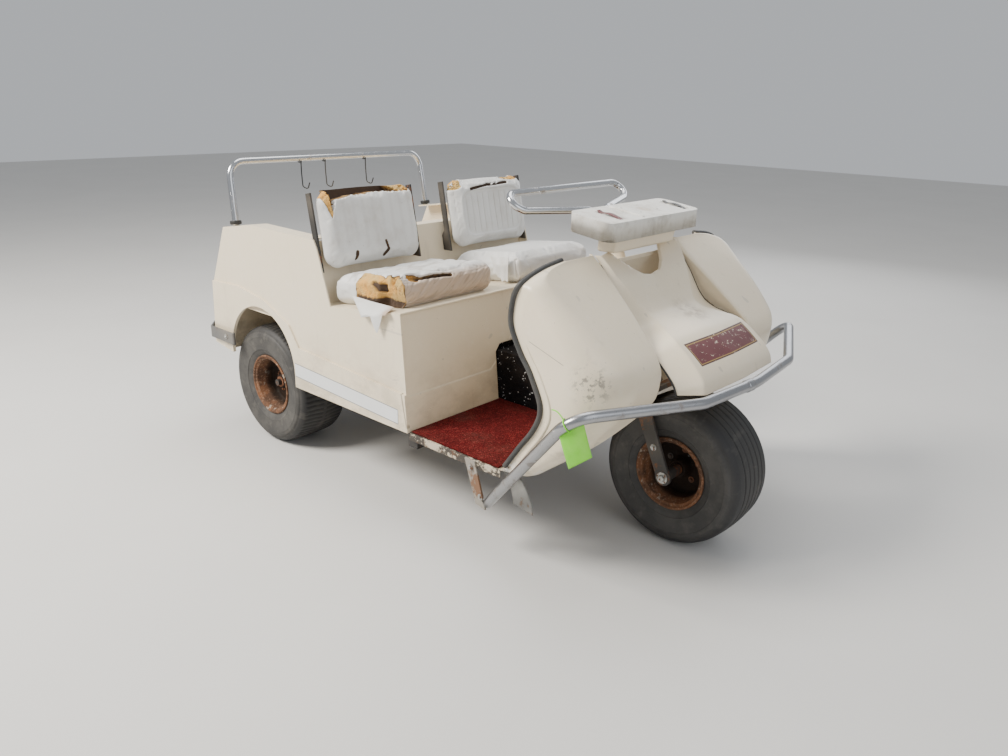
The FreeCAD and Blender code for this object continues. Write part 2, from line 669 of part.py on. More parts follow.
def is_upright(edge):
    box_of = edge.BoundBox
    return box_of.XLength < 0.1 and box_of.YLength < 0.1


tray_corners = rounded("tray_corners", tray_block, "28", is_upright)
tray_top = value("Sizes.tray_front_height")
tray_lean = math.degrees(math.atan2(value("Sizes.tray_rise"), value("Sizes.tray_depth")))
TRAY_TILT = FreeCAD.Rotation(V(1, 0, 0), tray_lean)


def tray_tool(name, shape, across, along):
    """A tool drawn about the tray's top surface at one place on it."""
    piece = feature(name, shape)
    up = tray_top + (along - TRAY_FRONT) * math.tan(math.radians(tray_lean))
    piece.Placement = FreeCAD.Placement(V(across, along, up), TRAY_TILT)
    return piece


tray_tools = []
for number, across in enumerate((-150, 200)):
    tray_tools.append(tray_tool("clip_pocket_%d" % number, Part.makeBox(34, 92, 20, V(-17, -46, -9)),
                                across, 232))
for number, (across, along) in enumerate(((58, 279), (-35, 274), (-13, 218), (80, 221))):
    tray_tools.append(tray_tool("screw_hole_%d" % number,
                                Part.makeCylinder(2.5, 30, V(0, 0, -22)), across, along))
keep(seat(cut("tray_cut", tray_corners, fuse("tray_tools", tray_tools))), "score_tray")

# Front bumper: one bent tube round the nose, tied to the floor by a strap each side
BUMPER_LOW = V(-(value(HALF) - 7), 351, 160)
corner_across = value(HALF + " + Sizes.bumper_reach")
bumper_points = [BUMPER_LOW, V(-corner_across, -14, 564), V(-262, -172, 548), V(0, -192, 545),
                 V(262, -172, 548), V(corner_across, -14, 564), V(-BUMPER_LOW.x, 351, 160)]
bumper = tube("front_bumper_tube", bumper_points, value("Sizes.bumper_radius"),
              [70, 90, 400, 90, 70])
strap_plate = side_pad("bumper_strap_plate", [("395", FLOOR + " - 1"), ("435", FLOOR + " - 1"),
                                              ("388", "150"), ("350", "142")], "6",
                       "-%s - 6.3" % HALF)
both_sides(cut("bumper_strap_form", strap_plate, bumper), "bumper_strap")
keep(seat(feature("front_bumper_seated", bumper.Shape)), "front_bumper")

# Bag rail: a bent tube whose feet stand in rubber grommets on the lips of the side walls
RAIL_FOOT = V(-value("%s - 41" % HALF), 1674, value("Sizes.wall_height - 20.1"))
RAIL_TOP_POINT = V(-value("%s - 52" % HALF), 1710, value("Sizes.bag_rail_height"))
rail_points = [RAIL_FOOT, RAIL_TOP_POINT, V(-RAIL_TOP_POINT.x, RAIL_TOP_POINT.y, RAIL_TOP_POINT.z),
               V(-RAIL_FOOT.x, RAIL_FOOT.y, RAIL_FOOT.z)]
rail_radius = value("Sizes.bag_rail_radius")
keep(seat(cut("bag_rail_cut", tube("bag_rail_tube", rail_points, rail_radius, [62, 62]),
              fuse("rail_feet_room", [side_pad("rail_room_" + tag, [(along, up) for along, up in LIP],
                                               "70", near)
                                      for tag, near in (("right", "-" + HALF), ("left", HALF + " - 70"))]))),
     "bag_rail")
foot_axis = (RAIL_TOP_POINT - RAIL_FOOT).normalize()
grommet = Part.makeCylinder(21, 15, RAIL_FOOT + foot_axis * 4, foot_axis)
grommet = grommet.cut(Part.makeCylinder(rail_radius + value(GAP), 60, RAIL_FOOT, foot_axis))
grommet_body = feature("grommet_blank", grommet)
both_sides(cut("grommet_form", grommet_body, side_pad("grommet_room", LIP, "70", "-" + HALF)),
           "rail_grommet")

# Rear bumper: a steel strap round the back corners on two stand-offs
BACK = "(Sizes.rear_end + Sizes.rear_bumper_reach)"
GAUGE = "6"
CORNER = "(%s + 26)" % HALF
STRAP_OUT = [("-" + CORNER, "Sizes.rear_end - 170"), ("-" + CORNER, BACK + " - 54"),
             ("45 - " + CORNER, BACK), (CORNER + " - 45", BACK), (CORNER, BACK + " - 54"),
             (CORNER, "Sizes.rear_end - 170")]
STRAP_IN = [(CORNER + " - " + GAUGE, "Sizes.rear_end - 170"),
            (CORNER + " - " + GAUGE, BACK + " - 57"), (CORNER + " - 48", BACK + " - " + GAUGE),
            ("48 - " + CORNER, BACK + " - " + GAUGE), (GAUGE + " - " + CORNER, BACK + " - 57"),
            (GAUGE + " - " + CORNER, "Sizes.rear_end - 170")]
rear_strap = new_body("rear_strap")
rear_outline = new_sketch(rear_strap, "XY_Plane", "rear_strap_outline", "364")
polygon(rear_outline, STRAP_OUT + STRAP_IN)
pad(rear_strap, rear_outline, "46")
keep(seat(rear_strap), "rear_bumper")
STAND_OFF = [("Sizes.rear_end - 2.8", "372"), (BACK + " - %s - %s" % (GAUGE, GAP), "372"),
             (BACK + " - %s - %s" % (GAUGE, GAP), "402"), ("Sizes.rear_end - 5", "402")]
both_sides(side_pad("standoff", STAND_OFF, "40", "-330"), "bumper_bracket")

# Seats: a cushion and a back each side, each back held between two steel strips
CUSHION_FRONT = "(Sizes.box_top_front + 16)"
CUSHION_REAR = "(Sizes.deck_rear - 22)"
BACK_LOW = "(Sizes.deck_rear_height + 120)"
CUSHION = [(CUSHION_FRONT, deck_at(CUSHION_FRONT) + " + " + GAP),
           (CUSHION_REAR, deck_at(CUSHION_REAR) + " + " + GAP),
           (CUSHION_REAR + " - 40", deck_at(CUSHION_REAR) + " + Sizes.cushion_height + 2"),
           (CUSHION_FRONT + " + 7", deck_at(CUSHION_FRONT) + " + Sizes.cushion_height - 4")]
cushion = side_pad("cushion", CUSHION, "Sizes.cushion_width", "-(Sizes.seat_split + Sizes.cushion_width)")
both_sides(cushion, "seat_cushion")
BACK_FACE = "(Sizes.deck_rear - 58)"
BACK_OUTER = "(%s - 13)" % HALF
back = side_pad("back", [(BACK_FACE, BACK_LOW), (BACK_FACE + " + 56", BACK_LOW + " + 265"),
                         (BACK_FACE + " + 56 + Sizes.back_thickness - 1.4", BACK_LOW + " + 252"),
                         (BACK_FACE + " + Sizes.back_thickness - 1.4", BACK_LOW + " - 13")],
                "Sizes.back_width", "-" + BACK_OUTER)
both_sides(back, "seat_back")
STRIP = [(BACK_FACE + " + 38", BACK_LOW + " - 9"), (BACK_FACE + " + 77.6", BACK_LOW + " - 9"),
         (BACK_FACE + " + 87.8", BACK_LOW + " + 45"), (BACK_FACE + " + 78", BACK_LOW + " + 65"),
         (BACK_FACE + " + 112", BACK_LOW + " + 240"), (BACK_FACE + " + 88", BACK_LOW + " + 245")]
STRIP_GAUGE = "7.4"
strip_outer = side_pad("strip_outer", STRIP, STRIP_GAUGE, "-%s - %s - %s" % (BACK_OUTER, STRIP_GAUGE, GAP))
strip_inner = side_pad("strip_inner", STRIP, STRIP_GAUGE, "-%s + Sizes.back_width + %s" % (BACK_OUTER, GAP))
keep(seat(strip_outer), "seat_strip_right_outer")
keep(mirrored("strip_outer_left", strip_outer), "seat_strip_left_outer")
keep(seat(strip_inner), "seat_strip_right_inner")
keep(mirrored("strip_inner_left", strip_inner), "seat_strip_left_inner")

# Pedals: two plates on arms that rise from the floor on the left side
for name, across in (("brake_pedal", 170), ("throttle_pedal", 270)):
    mat_top = value(FLOOR + " + Sizes.mat_thickness + " + GAP)
    arm = Part.makeBox(10, 12, 88, V(across - 5, 345, mat_top))
    pad_plate = Part.makeBox(56, 10, 86, V(across - 28, 0, 0))
    pad_plate.rotate(V(across, 0, 0), V(1, 0, 0), 38)
    pad_plate.translate(V(0, 356, mat_top + 43))
    keep(seat(feature(name + "_form", arm.fuse(pad_plate).removeSplitter())), name)

# Drive unit and rear axle on two leaf springs
HUB = "Sizes.tyre_radius"
AXLE = "Sizes.wheelbase"
TRACK = "Sizes.rear_track / 2"
DRIVE_HALF = 150
keep(seat(box("drive_block", (-DRIVE_HALF, DRIVE_HALF), (AXLE + " - 175", AXLE + " + 105"),
              ("150", KICK + " - 1"))), "drive_unit")
AXLE_TUBE_END = "(%s - 80)" % TRACK
for sign, tag in SIDES:
    housing = cylinder("axle_tube_" + tag, "30", ("%d * %.1f" % (sign, DRIVE_HALF + 0.3), AXLE, HUB),
                       ("%d * %s" % (sign, AXLE_TUBE_END), AXLE, HUB))
    spindle = cylinder("axle_spindle_" + tag, "Sizes.spindle_radius",
                       ("%d * (%s - 5)" % (sign, AXLE_TUBE_END), AXLE, HUB),
                       ("%d * (%s + 62)" % (sign, TRACK), AXLE, HUB))
    keep(seat(fuse("axle_half_" + tag, [housing, spindle])), "rear_axle_" + tag)

SPRING_LOW = "(%s + 30 + %s)" % (HUB, GAP)
along = [AXLE + " + %d" % (SPRING_HALF_SPAN * step / 4) for step in range(-4, 5)]
curve = ["%d ^ 2" % step for step in range(-4, 5)]
leaf_low = [(one, "%s + 27 * (%s) / 16" % (SPRING_LOW, square)) for one, square in zip(along, curve)]
leaf_high = [(one, "%s + 22 + 13 * (%s) / 16" % (SPRING_LOW, square)) for one, square in zip(along, curve)]
leaf = side_pad("leaf", leaf_low + leaf_high[::-1], "44", "-Sizes.rail_half_gap - 22")
both_sides(leaf, "leaf_spring")

# Wheels: each tyre and rim is turned about the axle line
SEAT_R = "Sizes.rim_seat_radius"
TYRE_R = "Sizes.tyre_radius"
TYRE_W = "Sizes.tyre_half_width"
TYRE = [(TYRE_W + " - 19", SEAT_R + " + " + GAP), (TYRE_W + " - 18.6", "Sizes.rim_flange_radius + 2"),
        (TYRE_W + " - 1", TYRE_R + " - 66"), (TYRE_W, TYRE_R + " - 43.5"),
        (TYRE_W + " - 7", TYRE_R + " - 20"), (TYRE_W + " - 24", TYRE_R + " - 6"),
        (TYRE_W + " - 52", TYRE_R)]


def turned(name, points):
    """A body turned about the axle line from half its section."""
    body = new_body(name)
    sketch = new_sketch(body, "XY_Plane", name + "_section")
    polygon(sketch, points)
    turn = body.newObject("PartDesign::Revolution", name + "_turn")
    turn.Profile = sketch
    turn.ReferenceAxis = (sketch, ["H_Axis"])
    turn.Angle = 360
    return body


def wheel(tag, across, along, dish):
    """A tyre and its dished rim; dish is the web's place from the wheel's middle plane."""
    right = [("-(%s)" % far, radius) for far, radius in TYRE]
    tyre = turned("tyre_" + tag, right + TYRE[::-1])
    rim_w = "Sizes.rim_half_width"
    flange = "Sizes.rim_flange_radius"
    well = SEAT_R + " - 5"
    bore = "Sizes.spindle_radius + Sizes.running_fit"
    web = ("%d" % (dish - 3), "%d" % (dish + 3))
    rim = turned("rim_" + tag, [("-" + rim_w, well), ("-" + rim_w, flange), ("6 - " + rim_w, flange),
                                ("6 - " + rim_w, SEAT_R), (rim_w + " - 6", SEAT_R),
                                (rim_w + " - 6", flange), (rim_w, flange), (rim_w, well),
                                (web[1], well + " - 2"), (web[1], "30"), ("45", "26"), ("45", bore),
                                ("-45", bore), ("-45", "26"), (web[0], "30"), (web[0], well + " - 2")])
    for piece, kind in ((tyre, "tyre_"), (rim, "rim_")):
        piece.setExpression("Placement.Base.x", across)
        piece.setExpression("Placement.Base.y", along + " + " + FRONT_AXLE_Y)
        piece.setExpression("Placement.Base.z", HUB)
        keep(piece, kind + tag)


wheel("front", "0", "0", 0)
wheel("rear_right", "-" + TRACK, AXLE, 12)
wheel("rear_left", TRACK, AXLE, -12)

# Steering: axle, fork, stem and handle loop turn together about the raked axis
FORK_GAP = "Sizes.fork_half_gap"
front_axle = cylinder("front_axle_bar", "Sizes.spindle_radius", ("-%s - 12" % FORK_GAP, "0", HUB),
                      (FORK_GAP + " + 12", "0", HUB))
collars = [cylinder("collar_" + tag, "18", ("%d * (%s - 0.1)" % (sign, FORK_GAP), "0", HUB),
                    ("%d * 46" % sign, "0", HUB)) for sign, tag in SIDES]
keep(seat(fuse("front_axle_fused", [front_axle] + collars)), "front_axle")
offset = value("Sizes.fork_offset")
fork_gap = value(FORK_GAP)
CROWN = 244
legs = []
for sign, tag in SIDES:
    low_side = min(sign * fork_gap, sign * (fork_gap + 12))
    leg = Part.makeBox(12, 44, CROWN + 14, V(low_side, -offset - 22, 0))
    leg = leg.fuse(Part.makeCylinder(26, 12, V(low_side, -offset, 0), V(1, 0, 0)))
    bore = Part.makeCylinder(value("Sizes.spindle_radius"), 14, V(low_side - 1, -offset, 0), V(1, 0, 0))
    legs.append(leg.cut(bore))
crown = Part.makeBox(2 * (fork_gap + 12), 70, 14, V(-fork_gap - 12, -offset - 22, CROWN))
stem = Part.makeCylinder(value("Sizes.stem_radius"), value("Sizes.stem_high") - CROWN - 6,
                         V(0, 0, CROWN + 6))
keep(seat(leaning("fork_form", stem.fuse([crown] + legs).removeSplitter())), "fork_and_stem")

reach = value("Sizes.handle_half_width")
half_loop = [V(-14, 352, 946), V(-46, 382, 966), V(-reach + 44, 461, 974), V(-reach, 487, 998),
             V(-reach + 42, 511, 1019)]
loop_points = half_loop + [V(-point.x, point.y, point.z) for point in half_loop[::-1]]
loop = tube("handle_tube", loop_points, value("Sizes.handle_radius"), [24, 40, 30, 34, 34, 30, 40, 24])
clamp = leaning("clamp_form", Part.makeCylinder(22, 34, V(0, 0, value("Sizes.stem_high + Sizes.soft_gap"))))
keep(seat(fuse("handle_welded", [loop, clamp])), "handle_loop")

# Steering column tube: the fixed sleeve round the stem that shows in the scoop under the tray
column = axis_tube("column_form", 24, value("Sizes.stem_radius") + 1.5, value("Sizes.head_high") + 0.3,
                   value("Sizes.stem_high") - 70)
keep(seat(column), "column_tube")

# Every object must be sound before any file is written
DOC.recompute()
failed = [one.Label for one in DOC.Objects if "Invalid" in one.State or "Error" in one.State]
failed += [piece.Label for piece in PARTS if piece.Shape.isNull() or not piece.Shape.isValid()]
if failed:
    raise RuntimeError("unsound: " + ", ".join(failed))
os.makedirs("parts", exist_ok=True)
for piece in PARTS:
    piece.Shape.exportStep("parts/%s.step" % piece.Label)
    bounds = piece.Shape.BoundBox
    print("%-24s solids %d, %8.1f cm3, x %5.0f to %5.0f, y %5.0f to %5.0f, z %5.0f to %5.0f" % (
        piece.Label, len(piece.Shape.Solids), piece.Shape.Volume / 1000, bounds.XMin, bounds.XMax,
        bounds.YMin, bounds.YMax, bounds.ZMin, bounds.ZMax))
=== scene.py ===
import json
import math

import bmesh
import bpy
import numpy as np
from mathutils import Matrix, Vector

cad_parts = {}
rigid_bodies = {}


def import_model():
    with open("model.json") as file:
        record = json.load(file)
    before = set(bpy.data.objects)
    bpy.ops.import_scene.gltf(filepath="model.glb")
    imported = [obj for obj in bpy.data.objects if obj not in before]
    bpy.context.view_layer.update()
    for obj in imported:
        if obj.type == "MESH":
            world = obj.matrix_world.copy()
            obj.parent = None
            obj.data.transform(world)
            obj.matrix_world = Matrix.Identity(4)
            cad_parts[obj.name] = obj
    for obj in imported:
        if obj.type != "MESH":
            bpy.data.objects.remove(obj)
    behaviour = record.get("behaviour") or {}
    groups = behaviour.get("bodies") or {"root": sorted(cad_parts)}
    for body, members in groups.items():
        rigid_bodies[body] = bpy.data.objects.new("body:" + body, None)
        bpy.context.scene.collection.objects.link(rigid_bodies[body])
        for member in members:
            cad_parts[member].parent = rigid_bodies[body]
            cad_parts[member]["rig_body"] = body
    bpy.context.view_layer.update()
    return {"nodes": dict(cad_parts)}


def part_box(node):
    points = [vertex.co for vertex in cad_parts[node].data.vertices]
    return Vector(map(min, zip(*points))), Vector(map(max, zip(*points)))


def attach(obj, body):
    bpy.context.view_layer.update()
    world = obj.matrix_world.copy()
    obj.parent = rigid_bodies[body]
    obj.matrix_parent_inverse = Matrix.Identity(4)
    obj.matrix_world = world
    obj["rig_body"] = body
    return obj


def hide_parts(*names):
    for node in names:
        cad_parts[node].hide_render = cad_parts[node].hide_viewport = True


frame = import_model()
nodes = frame["nodes"]


# The welded chassis: two box rails kicked up over the rear axle, cross members, spring hangers
# and the head tube's neck plates, all of mild steel under old dark paint that has begun to rust.
class Flow:
    """A socket inside a material. Operators on it add Math nodes, node() adds any other node."""

    def __init__(self, tree, socket):
        self.tree = tree
        self.socket = socket

    def node(self, kind, settings=None, sockets=None, out=0):
        """Add a node of a kind: its settings first, then values or links for its sockets."""
        made = self.tree.nodes.new("ShaderNode" + kind)
        for name, setting in (settings or {}).items():
            setattr(made, name, setting)
        for key, given in (sockets or {}).items():
            socket = made.inputs[key]
            if isinstance(given, Flow):
                self.tree.links.new(given.socket, socket)
            elif socket.type == "RGBA":
                socket.default_value = (*given, 1.0)
            else:
                socket.default_value = given
        return Flow(self.tree, made.outputs[out])

    def calc(self, operation, *values):
        return self.node("Math", {"operation": operation}, dict(enumerate(values)))

    def __add__(self, other):
        return self.calc("ADD", self, other)

    def __sub__(self, other):
        return self.calc("SUBTRACT", self, other)

    def __rsub__(self, other):
        return self.calc("SUBTRACT", other, self)

    def __mul__(self, other):
        return self.calc("MULTIPLY", self, other)

    def __pow__(self, power):
        return self.calc("POWER", self, power)

    def __abs__(self):
        return self.calc("ABSOLUTE", self)

    __radd__ = __add__
    __rmul__ = __mul__

    def most(self, other):
        return self.calc("MAXIMUM", self, other)

    def rise(self, low, high):
        """A smooth step: 0 up to low and 1 from high on, or the other way round."""
        flip = low > high
        first, last = (high, low) if flip else (low, high)
        step = self.node("MapRange", {"interpolation_type": "SMOOTHSTEP"},
                         {0: self, 1: first, 2: last, 3: 0.0, 4: 1.0})
        return 1.0 - step if flip else step

    def between(self, low, high, soft):
        """1 from low to high, fading to 0 over a soft edge outside."""
        return self.rise(low - soft, low) * self.rise(high + soft, high)

    def tint(self, under, over):
        """The under colour where this is 0 and the over colour where it is 1."""
        return self.node("Mix", {"data_type": "RGBA"}, {0: self, 6: under, 7: over}, out=2)


class Finish:
    """A material being made: its shader, its object coordinates and its patterns."""

    def __init__(self, name, uniform=None):
        self.material = bpy.data.materials.new(name)
        self.material.use_nodes = True
        self.tree = self.material.node_tree
        self.shader = self.tree.nodes["Principled BSDF"]
        for socket, amount in (uniform or {}).items():
            self.shader.inputs[socket].default_value = amount
        coordinates = self.tree.nodes.new("ShaderNodeTexCoord")
        self.place = Flow(self.tree, coordinates.outputs["Object"])
        self.x = self.place.node("SeparateXYZ", None, {0: self.place})
        parts = self.x.socket.node.outputs
        self.y = Flow(self.tree, parts[1])
        self.z = Flow(self.tree, parts[2])

    def cloud(self, scale, detail=4.0, rough=0.55, stretch=(1.0, 1.0, 1.0), shift=0.0):
        """Fractal noise from 0 to 1; stretch packs it closer along an axis."""
        moved = self.place.node("Mapping", None, {0: self.place, 1: (shift, shift, shift),
                                                  3: stretch})
        return self.place.node("TexNoise", None, {"Vector": moved, "Scale": scale,
                                                  "Detail": detail, "Roughness": rough})

    def grains(self, scale):
        """Distance to the nearest of many scattered points, for pits and specks."""
        return self.place.node("TexVoronoi", None, {"Vector": self.place, "Scale": scale})

    def near(self, centre, reach):
        """1 at a point of the object, falling to 0 at reach from it."""
        away = self.place.node("VectorMath", {"operation": "DISTANCE"},
                               {0: self.place, 1: tuple(centre)}, out=1)
        return away.rise(reach, reach * 0.25)

    def off_axle(self, axle):
        """Distance from a wheel's axle."""
        along = self.y - axle[1]
        up = self.z - axle[2]
        return (along * along + up * up) ** 0.5

    def attribute(self, name):
        return self.place.node("Attribute", {"attribute_name": name}, out=2)

    def wear(self, colour=None, rough=None, metal=None, bump=None, depth=0.001, coat=None):
        """Join the layers to the shader; the bump's depth is in metres."""
        given = {"Base Color": colour, "Roughness": rough, "Metallic": metal,
                 "Coat Weight": coat}
        for socket, flow in given.items():
            if flow is not None:
                self.tree.links.new(flow.socket, self.shader.inputs[socket])
        if bump is not None:
            normal = bump.node("Bump", None, {"Strength": 1.0, "Distance": depth,
                                              "Height": bump})
            self.tree.links.new(normal.socket, self.shader.inputs["Normal"])
        return self.material


def old_paint(name, paint, rust=(0.16, 0.060, 0.022), rusting=0.52, gloss=0.5):
    """Brushed-on paint with rust breaking through where a coarse and a fine cloud agree."""
    finish = Finish(name)
    broad = finish.cloud(7.0, 6.0, 0.62)
    fine = finish.cloud(60.0, 5.0, 0.7, shift=3.0)
    rusty = (broad * 0.7 + fine * 0.3).rise(rusting, rusting + 0.07)
    dust = finish.cloud(3.0, 3.0, shift=8.0).rise(0.45, 0.75) * 0.5
    shade = fine.tint(paint, tuple(0.55 * part for part in paint))
    shade = rusty.tint(shade, broad.tint(rust, tuple(1.8 * part for part in rust)))
    shade = dust.tint(shade, (0.26, 0.22, 0.17))
    rough = rusty * (0.95 - gloss) + gloss + dust * 0.1
    return finish.wear(shade, rough, bump=rusty * 0.6 + fine * 0.35, depth=0.0009)


SIDES = ((-1, "right"), (1, "left"))
SHARP = math.radians(25.0)


def dress(node, material):
    """Give a CAD node its finish."""
    slots = nodes[node].data.materials
    slots.clear()
    slots.append(material)


def eased(node, width, material, chosen=None, steps=2):
    """The CAD piece with its triangles joined, its flat faces whole and its edges rounded.

    Only edges where faces meet at more than 25 degrees are rounded, and of those the ones
    that chosen, a function of the edges' middle points, picks out.
    """
    mesh = nodes[node].data.copy()
    work = bmesh.new()
    work.from_mesh(mesh)
    bmesh.ops.remove_doubles(work, verts=work.verts, dist=2e-5)
    bmesh.ops.dissolve_limit(work, angle_limit=math.radians(1.0), verts=work.verts,
                             edges=work.edges)
    weight = work.edges.layers.float.new("bevel_weight_edge")
    sharp = [edge for edge in work.edges if len(edge.link_faces) == 2
             and edge.calc_face_angle(0.0) > SHARP]
    middles = np.array([(edge.verts[0].co + edge.verts[1].co) / 2 for edge in sharp])
    picked = np.ones(len(sharp), bool) if chosen is None else chosen(middles)
    for edge, wanted in zip(sharp, picked):
        edge[weight] = float(wanted)
    for face in work.faces:
        face.smooth = True
    work.to_mesh(mesh)
    work.free()
    piece = bpy.data.objects.new(node + "_eased", mesh)
    bpy.context.scene.collection.objects.link(piece)
    mesh.materials.clear()
    mesh.materials.append(material)
    bevel = piece.modifiers.new("edges", "BEVEL")
    bevel.limit_method = "WEIGHT"
    bevel.width = width
    bevel.segments = steps
    bevel.harden_normals = False
    piece.modifiers.new("shading", "WEIGHTED_NORMAL")
    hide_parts(node)
    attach(piece, nodes[node]["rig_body"])
    return piece


chassis_paint = old_paint("chassis_paint", (0.035, 0.031, 0.028))
eased("frame", 0.002, chassis_paint)
dress("rear_axle_right", chassis_paint)
dress("rear_axle_left", chassis_paint)


# The drive unit: engine and axle gearbox in one cast housing under the bag well. It is a plain
# block at its real size; its finish is dull oily cast metal under road dust.
def cast_metal():
    finish = Finish("oily_cast_metal", {"Metallic": 0.6})
    grain = finish.cloud(120.0, 4.0, 0.7)
    oil = finish.cloud(5.0, 5.0, 0.6, (1.0, 1.0, 0.4)).rise(0.42, 0.62)
    dust = finish.z.rise(0.16, 0.34) * 0.5
    shade = oil.tint((0.17, 0.165, 0.155), (0.035, 0.030, 0.026))
    shade = dust.tint(shade, (0.22, 0.19, 0.15))
    return finish.wear(shade, 0.75 - oil * 0.35, bump=grain, depth=0.0008)


eased("drive_unit", 0.012, cast_metal(), steps=3)

# Leaf springs: steel packs clamped under the rails by round U-bolts, one pack each side. The
# leaves are dark and scaly, and the bolts' nuts show bright thread at their ends.
spring_steel = old_paint("spring_steel", (0.05, 0.045, 0.04), rusting=0.47, gloss=0.6)
axle_low, axle_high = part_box("rear_axle_right")
REAR_AXLE = np.array([0.0, (axle_low.y + axle_high.y) / 2, (axle_low.z + axle_high.z) / 2])
front_low, front_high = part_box("tyre_front")
FRONT_AXLE = np.array([0.0, (front_low.y + front_high.y) / 2, (front_low.z + front_high.z) / 2])


def grid_faces(rows, columns, round_rows=False, round_columns=False):
    """Four-sided faces between neighbours of a grid of points whose columns run fastest."""
    row = np.arange(rows if round_rows else rows - 1)[:, None]
    column = np.arange(columns if round_columns else columns - 1)[None, :]
    this = row * columns
    following = ((row + 1) % rows) * columns
    beside = (column + 1) % columns
    corners = [this + column, this + beside, following + beside, following + column]
    return np.stack(corners, axis=-1).reshape(-1, 4)


def new_piece(name, points, faces, material, body, smooth=True):
    """A mesh object from arrays of points in metres and of faces, riding on its body."""
    mesh = bpy.data.meshes.new(name)
    mesh.from_pydata(np.asarray(points).reshape(-1, 3).tolist(), [],
                     faces if isinstance(faces, list) else faces.tolist())
    if smooth:
        mesh.shade_smooth()
    mesh.materials.append(material)
    piece = bpy.data.objects.new(name, mesh)
    bpy.context.scene.collection.objects.link(piece)
    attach(piece, body)
    return piece


def at(across, along, up):
    """Metres in the shared frame from millimetres across, behind the front axle and up."""
    return np.stack(np.broadcast_arrays(np.asarray(across, float) / 1000,
                                        np.asarray(along, float) / 1000 + FRONT_AXLE[1],
                                        np.asarray(up, float) / 1000), axis=-1)


def rounded(corners, bends, arc_steps=9, run_steps=6):
    """Points along straight runs between corners, each corner turned by a true arc.

    An arc is a rational curve of second degree from one tangent point to the other. Its
    middle weight is the cosine of half the turn, and the tangent points lie the bend's radius
    times the tangent of half the turn from the corner. Leading axes of corners are rows.
    """
    corners = np.asarray(corners, float)
    middle = corners[..., 1:-1, :]
    back = corners[..., :-2, :] - middle
    ahead = corners[..., 2:, :] - middle
    back /= np.linalg.norm(back, axis=-1, keepdims=True)
    ahead /= np.linalg.norm(ahead, axis=-1, keepdims=True)
    half = (math.pi - np.arccos(np.clip((back * ahead).sum(-1), -1, 1))) / 2
    reach = (np.asarray(bends, float) * np.tan(half))[..., None]
    start = middle + back * reach
    end = middle + ahead * reach
    step = np.linspace(0, 1, arc_steps)[:, None]
    weight = 2 * step * (1 - step) * np.cos(half)[..., None, None]
    arcs = ((1 - step) ** 2 * start[..., None, :] + weight * middle[..., None, :]
            + step ** 2 * end[..., None, :]) / ((1 - step) ** 2 + weight + step ** 2)
    steps = np.linspace(0, 1, run_steps + 1)[:, None]
    stretches = [corners[..., :1, :]]
    last = corners[..., 0, :]
    for bend in range(middle.shape[-2]):
        run = last[..., None, :] + (start[..., bend, :] - last)[..., None, :] * steps[1:-1]
        stretches += [run, arcs[..., bend, :, :]]
        last = end[..., bend, :]
    stretches.append(last[..., None, :] + (corners[..., -1, :] - last)[..., None, :] * steps[1:])
    return np.concatenate(stretches, axis=-2)


def bar(name, path, radius, material, body, sides=20):
    """A round bar along a path in metres, with domed ends.

    Each ring of points stands square to the path; its first direction is carried along the
    path by taking out, at each station, the part that points along it. radius may vary.
    """
    path = np.asarray(path, float)
    keep = np.ones(len(path), bool)
    keep[1:] = np.linalg.norm(np.diff(path, axis=0), axis=1) > 1e-6
    path = path[keep]
    radius = np.broadcast_to(radius, len(keep))[keep]
    along = np.gradient(path, axis=0)
    along /= np.linalg.norm(along, axis=1, keepdims=True)
    side = np.zeros_like(path)
    first = np.cross(along[0], (0.31, 0.52, 0.79))
    for station in range(len(path)):
        first = first - along[station] * np.dot(first, along[station])
        first = first / np.linalg.norm(first)
        side[station] = first
    up = np.cross(along, side)
    angle = np.linspace(0, 2 * math.pi, sides, endpoint=False)
    ring = side[:, None] * np.cos(angle)[:, None] + up[:, None] * np.sin(angle)[:, None]
    rings = path[:, None] + ring * radius[:, None, None]
    first_dome, last_dome = [
        path[end] + along[end] * sign * radius[end] * 0.12 + ring[end] * radius[end] * 0.8
        for end, sign in ((0, -1), (-1, 1))]
    points = np.concatenate([first_dome[None], rings, last_dome[None]])
    faces = grid_faces(len(points), sides, round_columns=True).tolist()
    total = len(points) * sides
    faces.append(list(range(sides))[::-1])
    faces.append(list(range(total - sides, total)))
    return new_piece(name, points, faces, material, body)


def hex_bolts(name, places, directions, size, material, body):
    """Six-sided bolt heads on washers: each is two stacked prisms about its own direction."""
    places = np.asarray(places, float)
    out = np.asarray(directions, float)
    out = out / np.linalg.norm(out, axis=1, keepdims=True)
    side = np.cross(out, (0.17, 0.29, 0.94))
    side /= np.linalg.norm(side, axis=1, keepdims=True)
    up = np.cross(out, side)
    # ring table: sides' radius and height as shares of the head's size
    rings = np.array([(0.95, 0.0), (0.95, 0.14), (0.56, 0.14), (0.56, 0.55), (0.48, 0.62),
                      (0.0, 0.62)])
    turn = np.arange(12) * math.pi / 6
    facet = np.where(np.arange(12) % 2, math.cos(math.pi / 6), 1.0)
    reach = rings[:, 0, None] * np.where(np.arange(6)[:, None] < 2, 1.0, facet[None])
    ring = (side[:, None, None] * np.cos(turn)[None, None, :, None]
            + up[:, None, None] * np.sin(turn)[None, None, :, None])
    points = places[:, None, None] + (ring * reach[None, :, :, None]
                                      + out[:, None, None] * rings[None, :, None, 1:]) * size
    one = grid_faces(6, 12, round_columns=True)
    faces = np.concatenate([one + 72 * index for index in range(len(places))])
    return new_piece(name, points, faces, material, body, smooth=False)


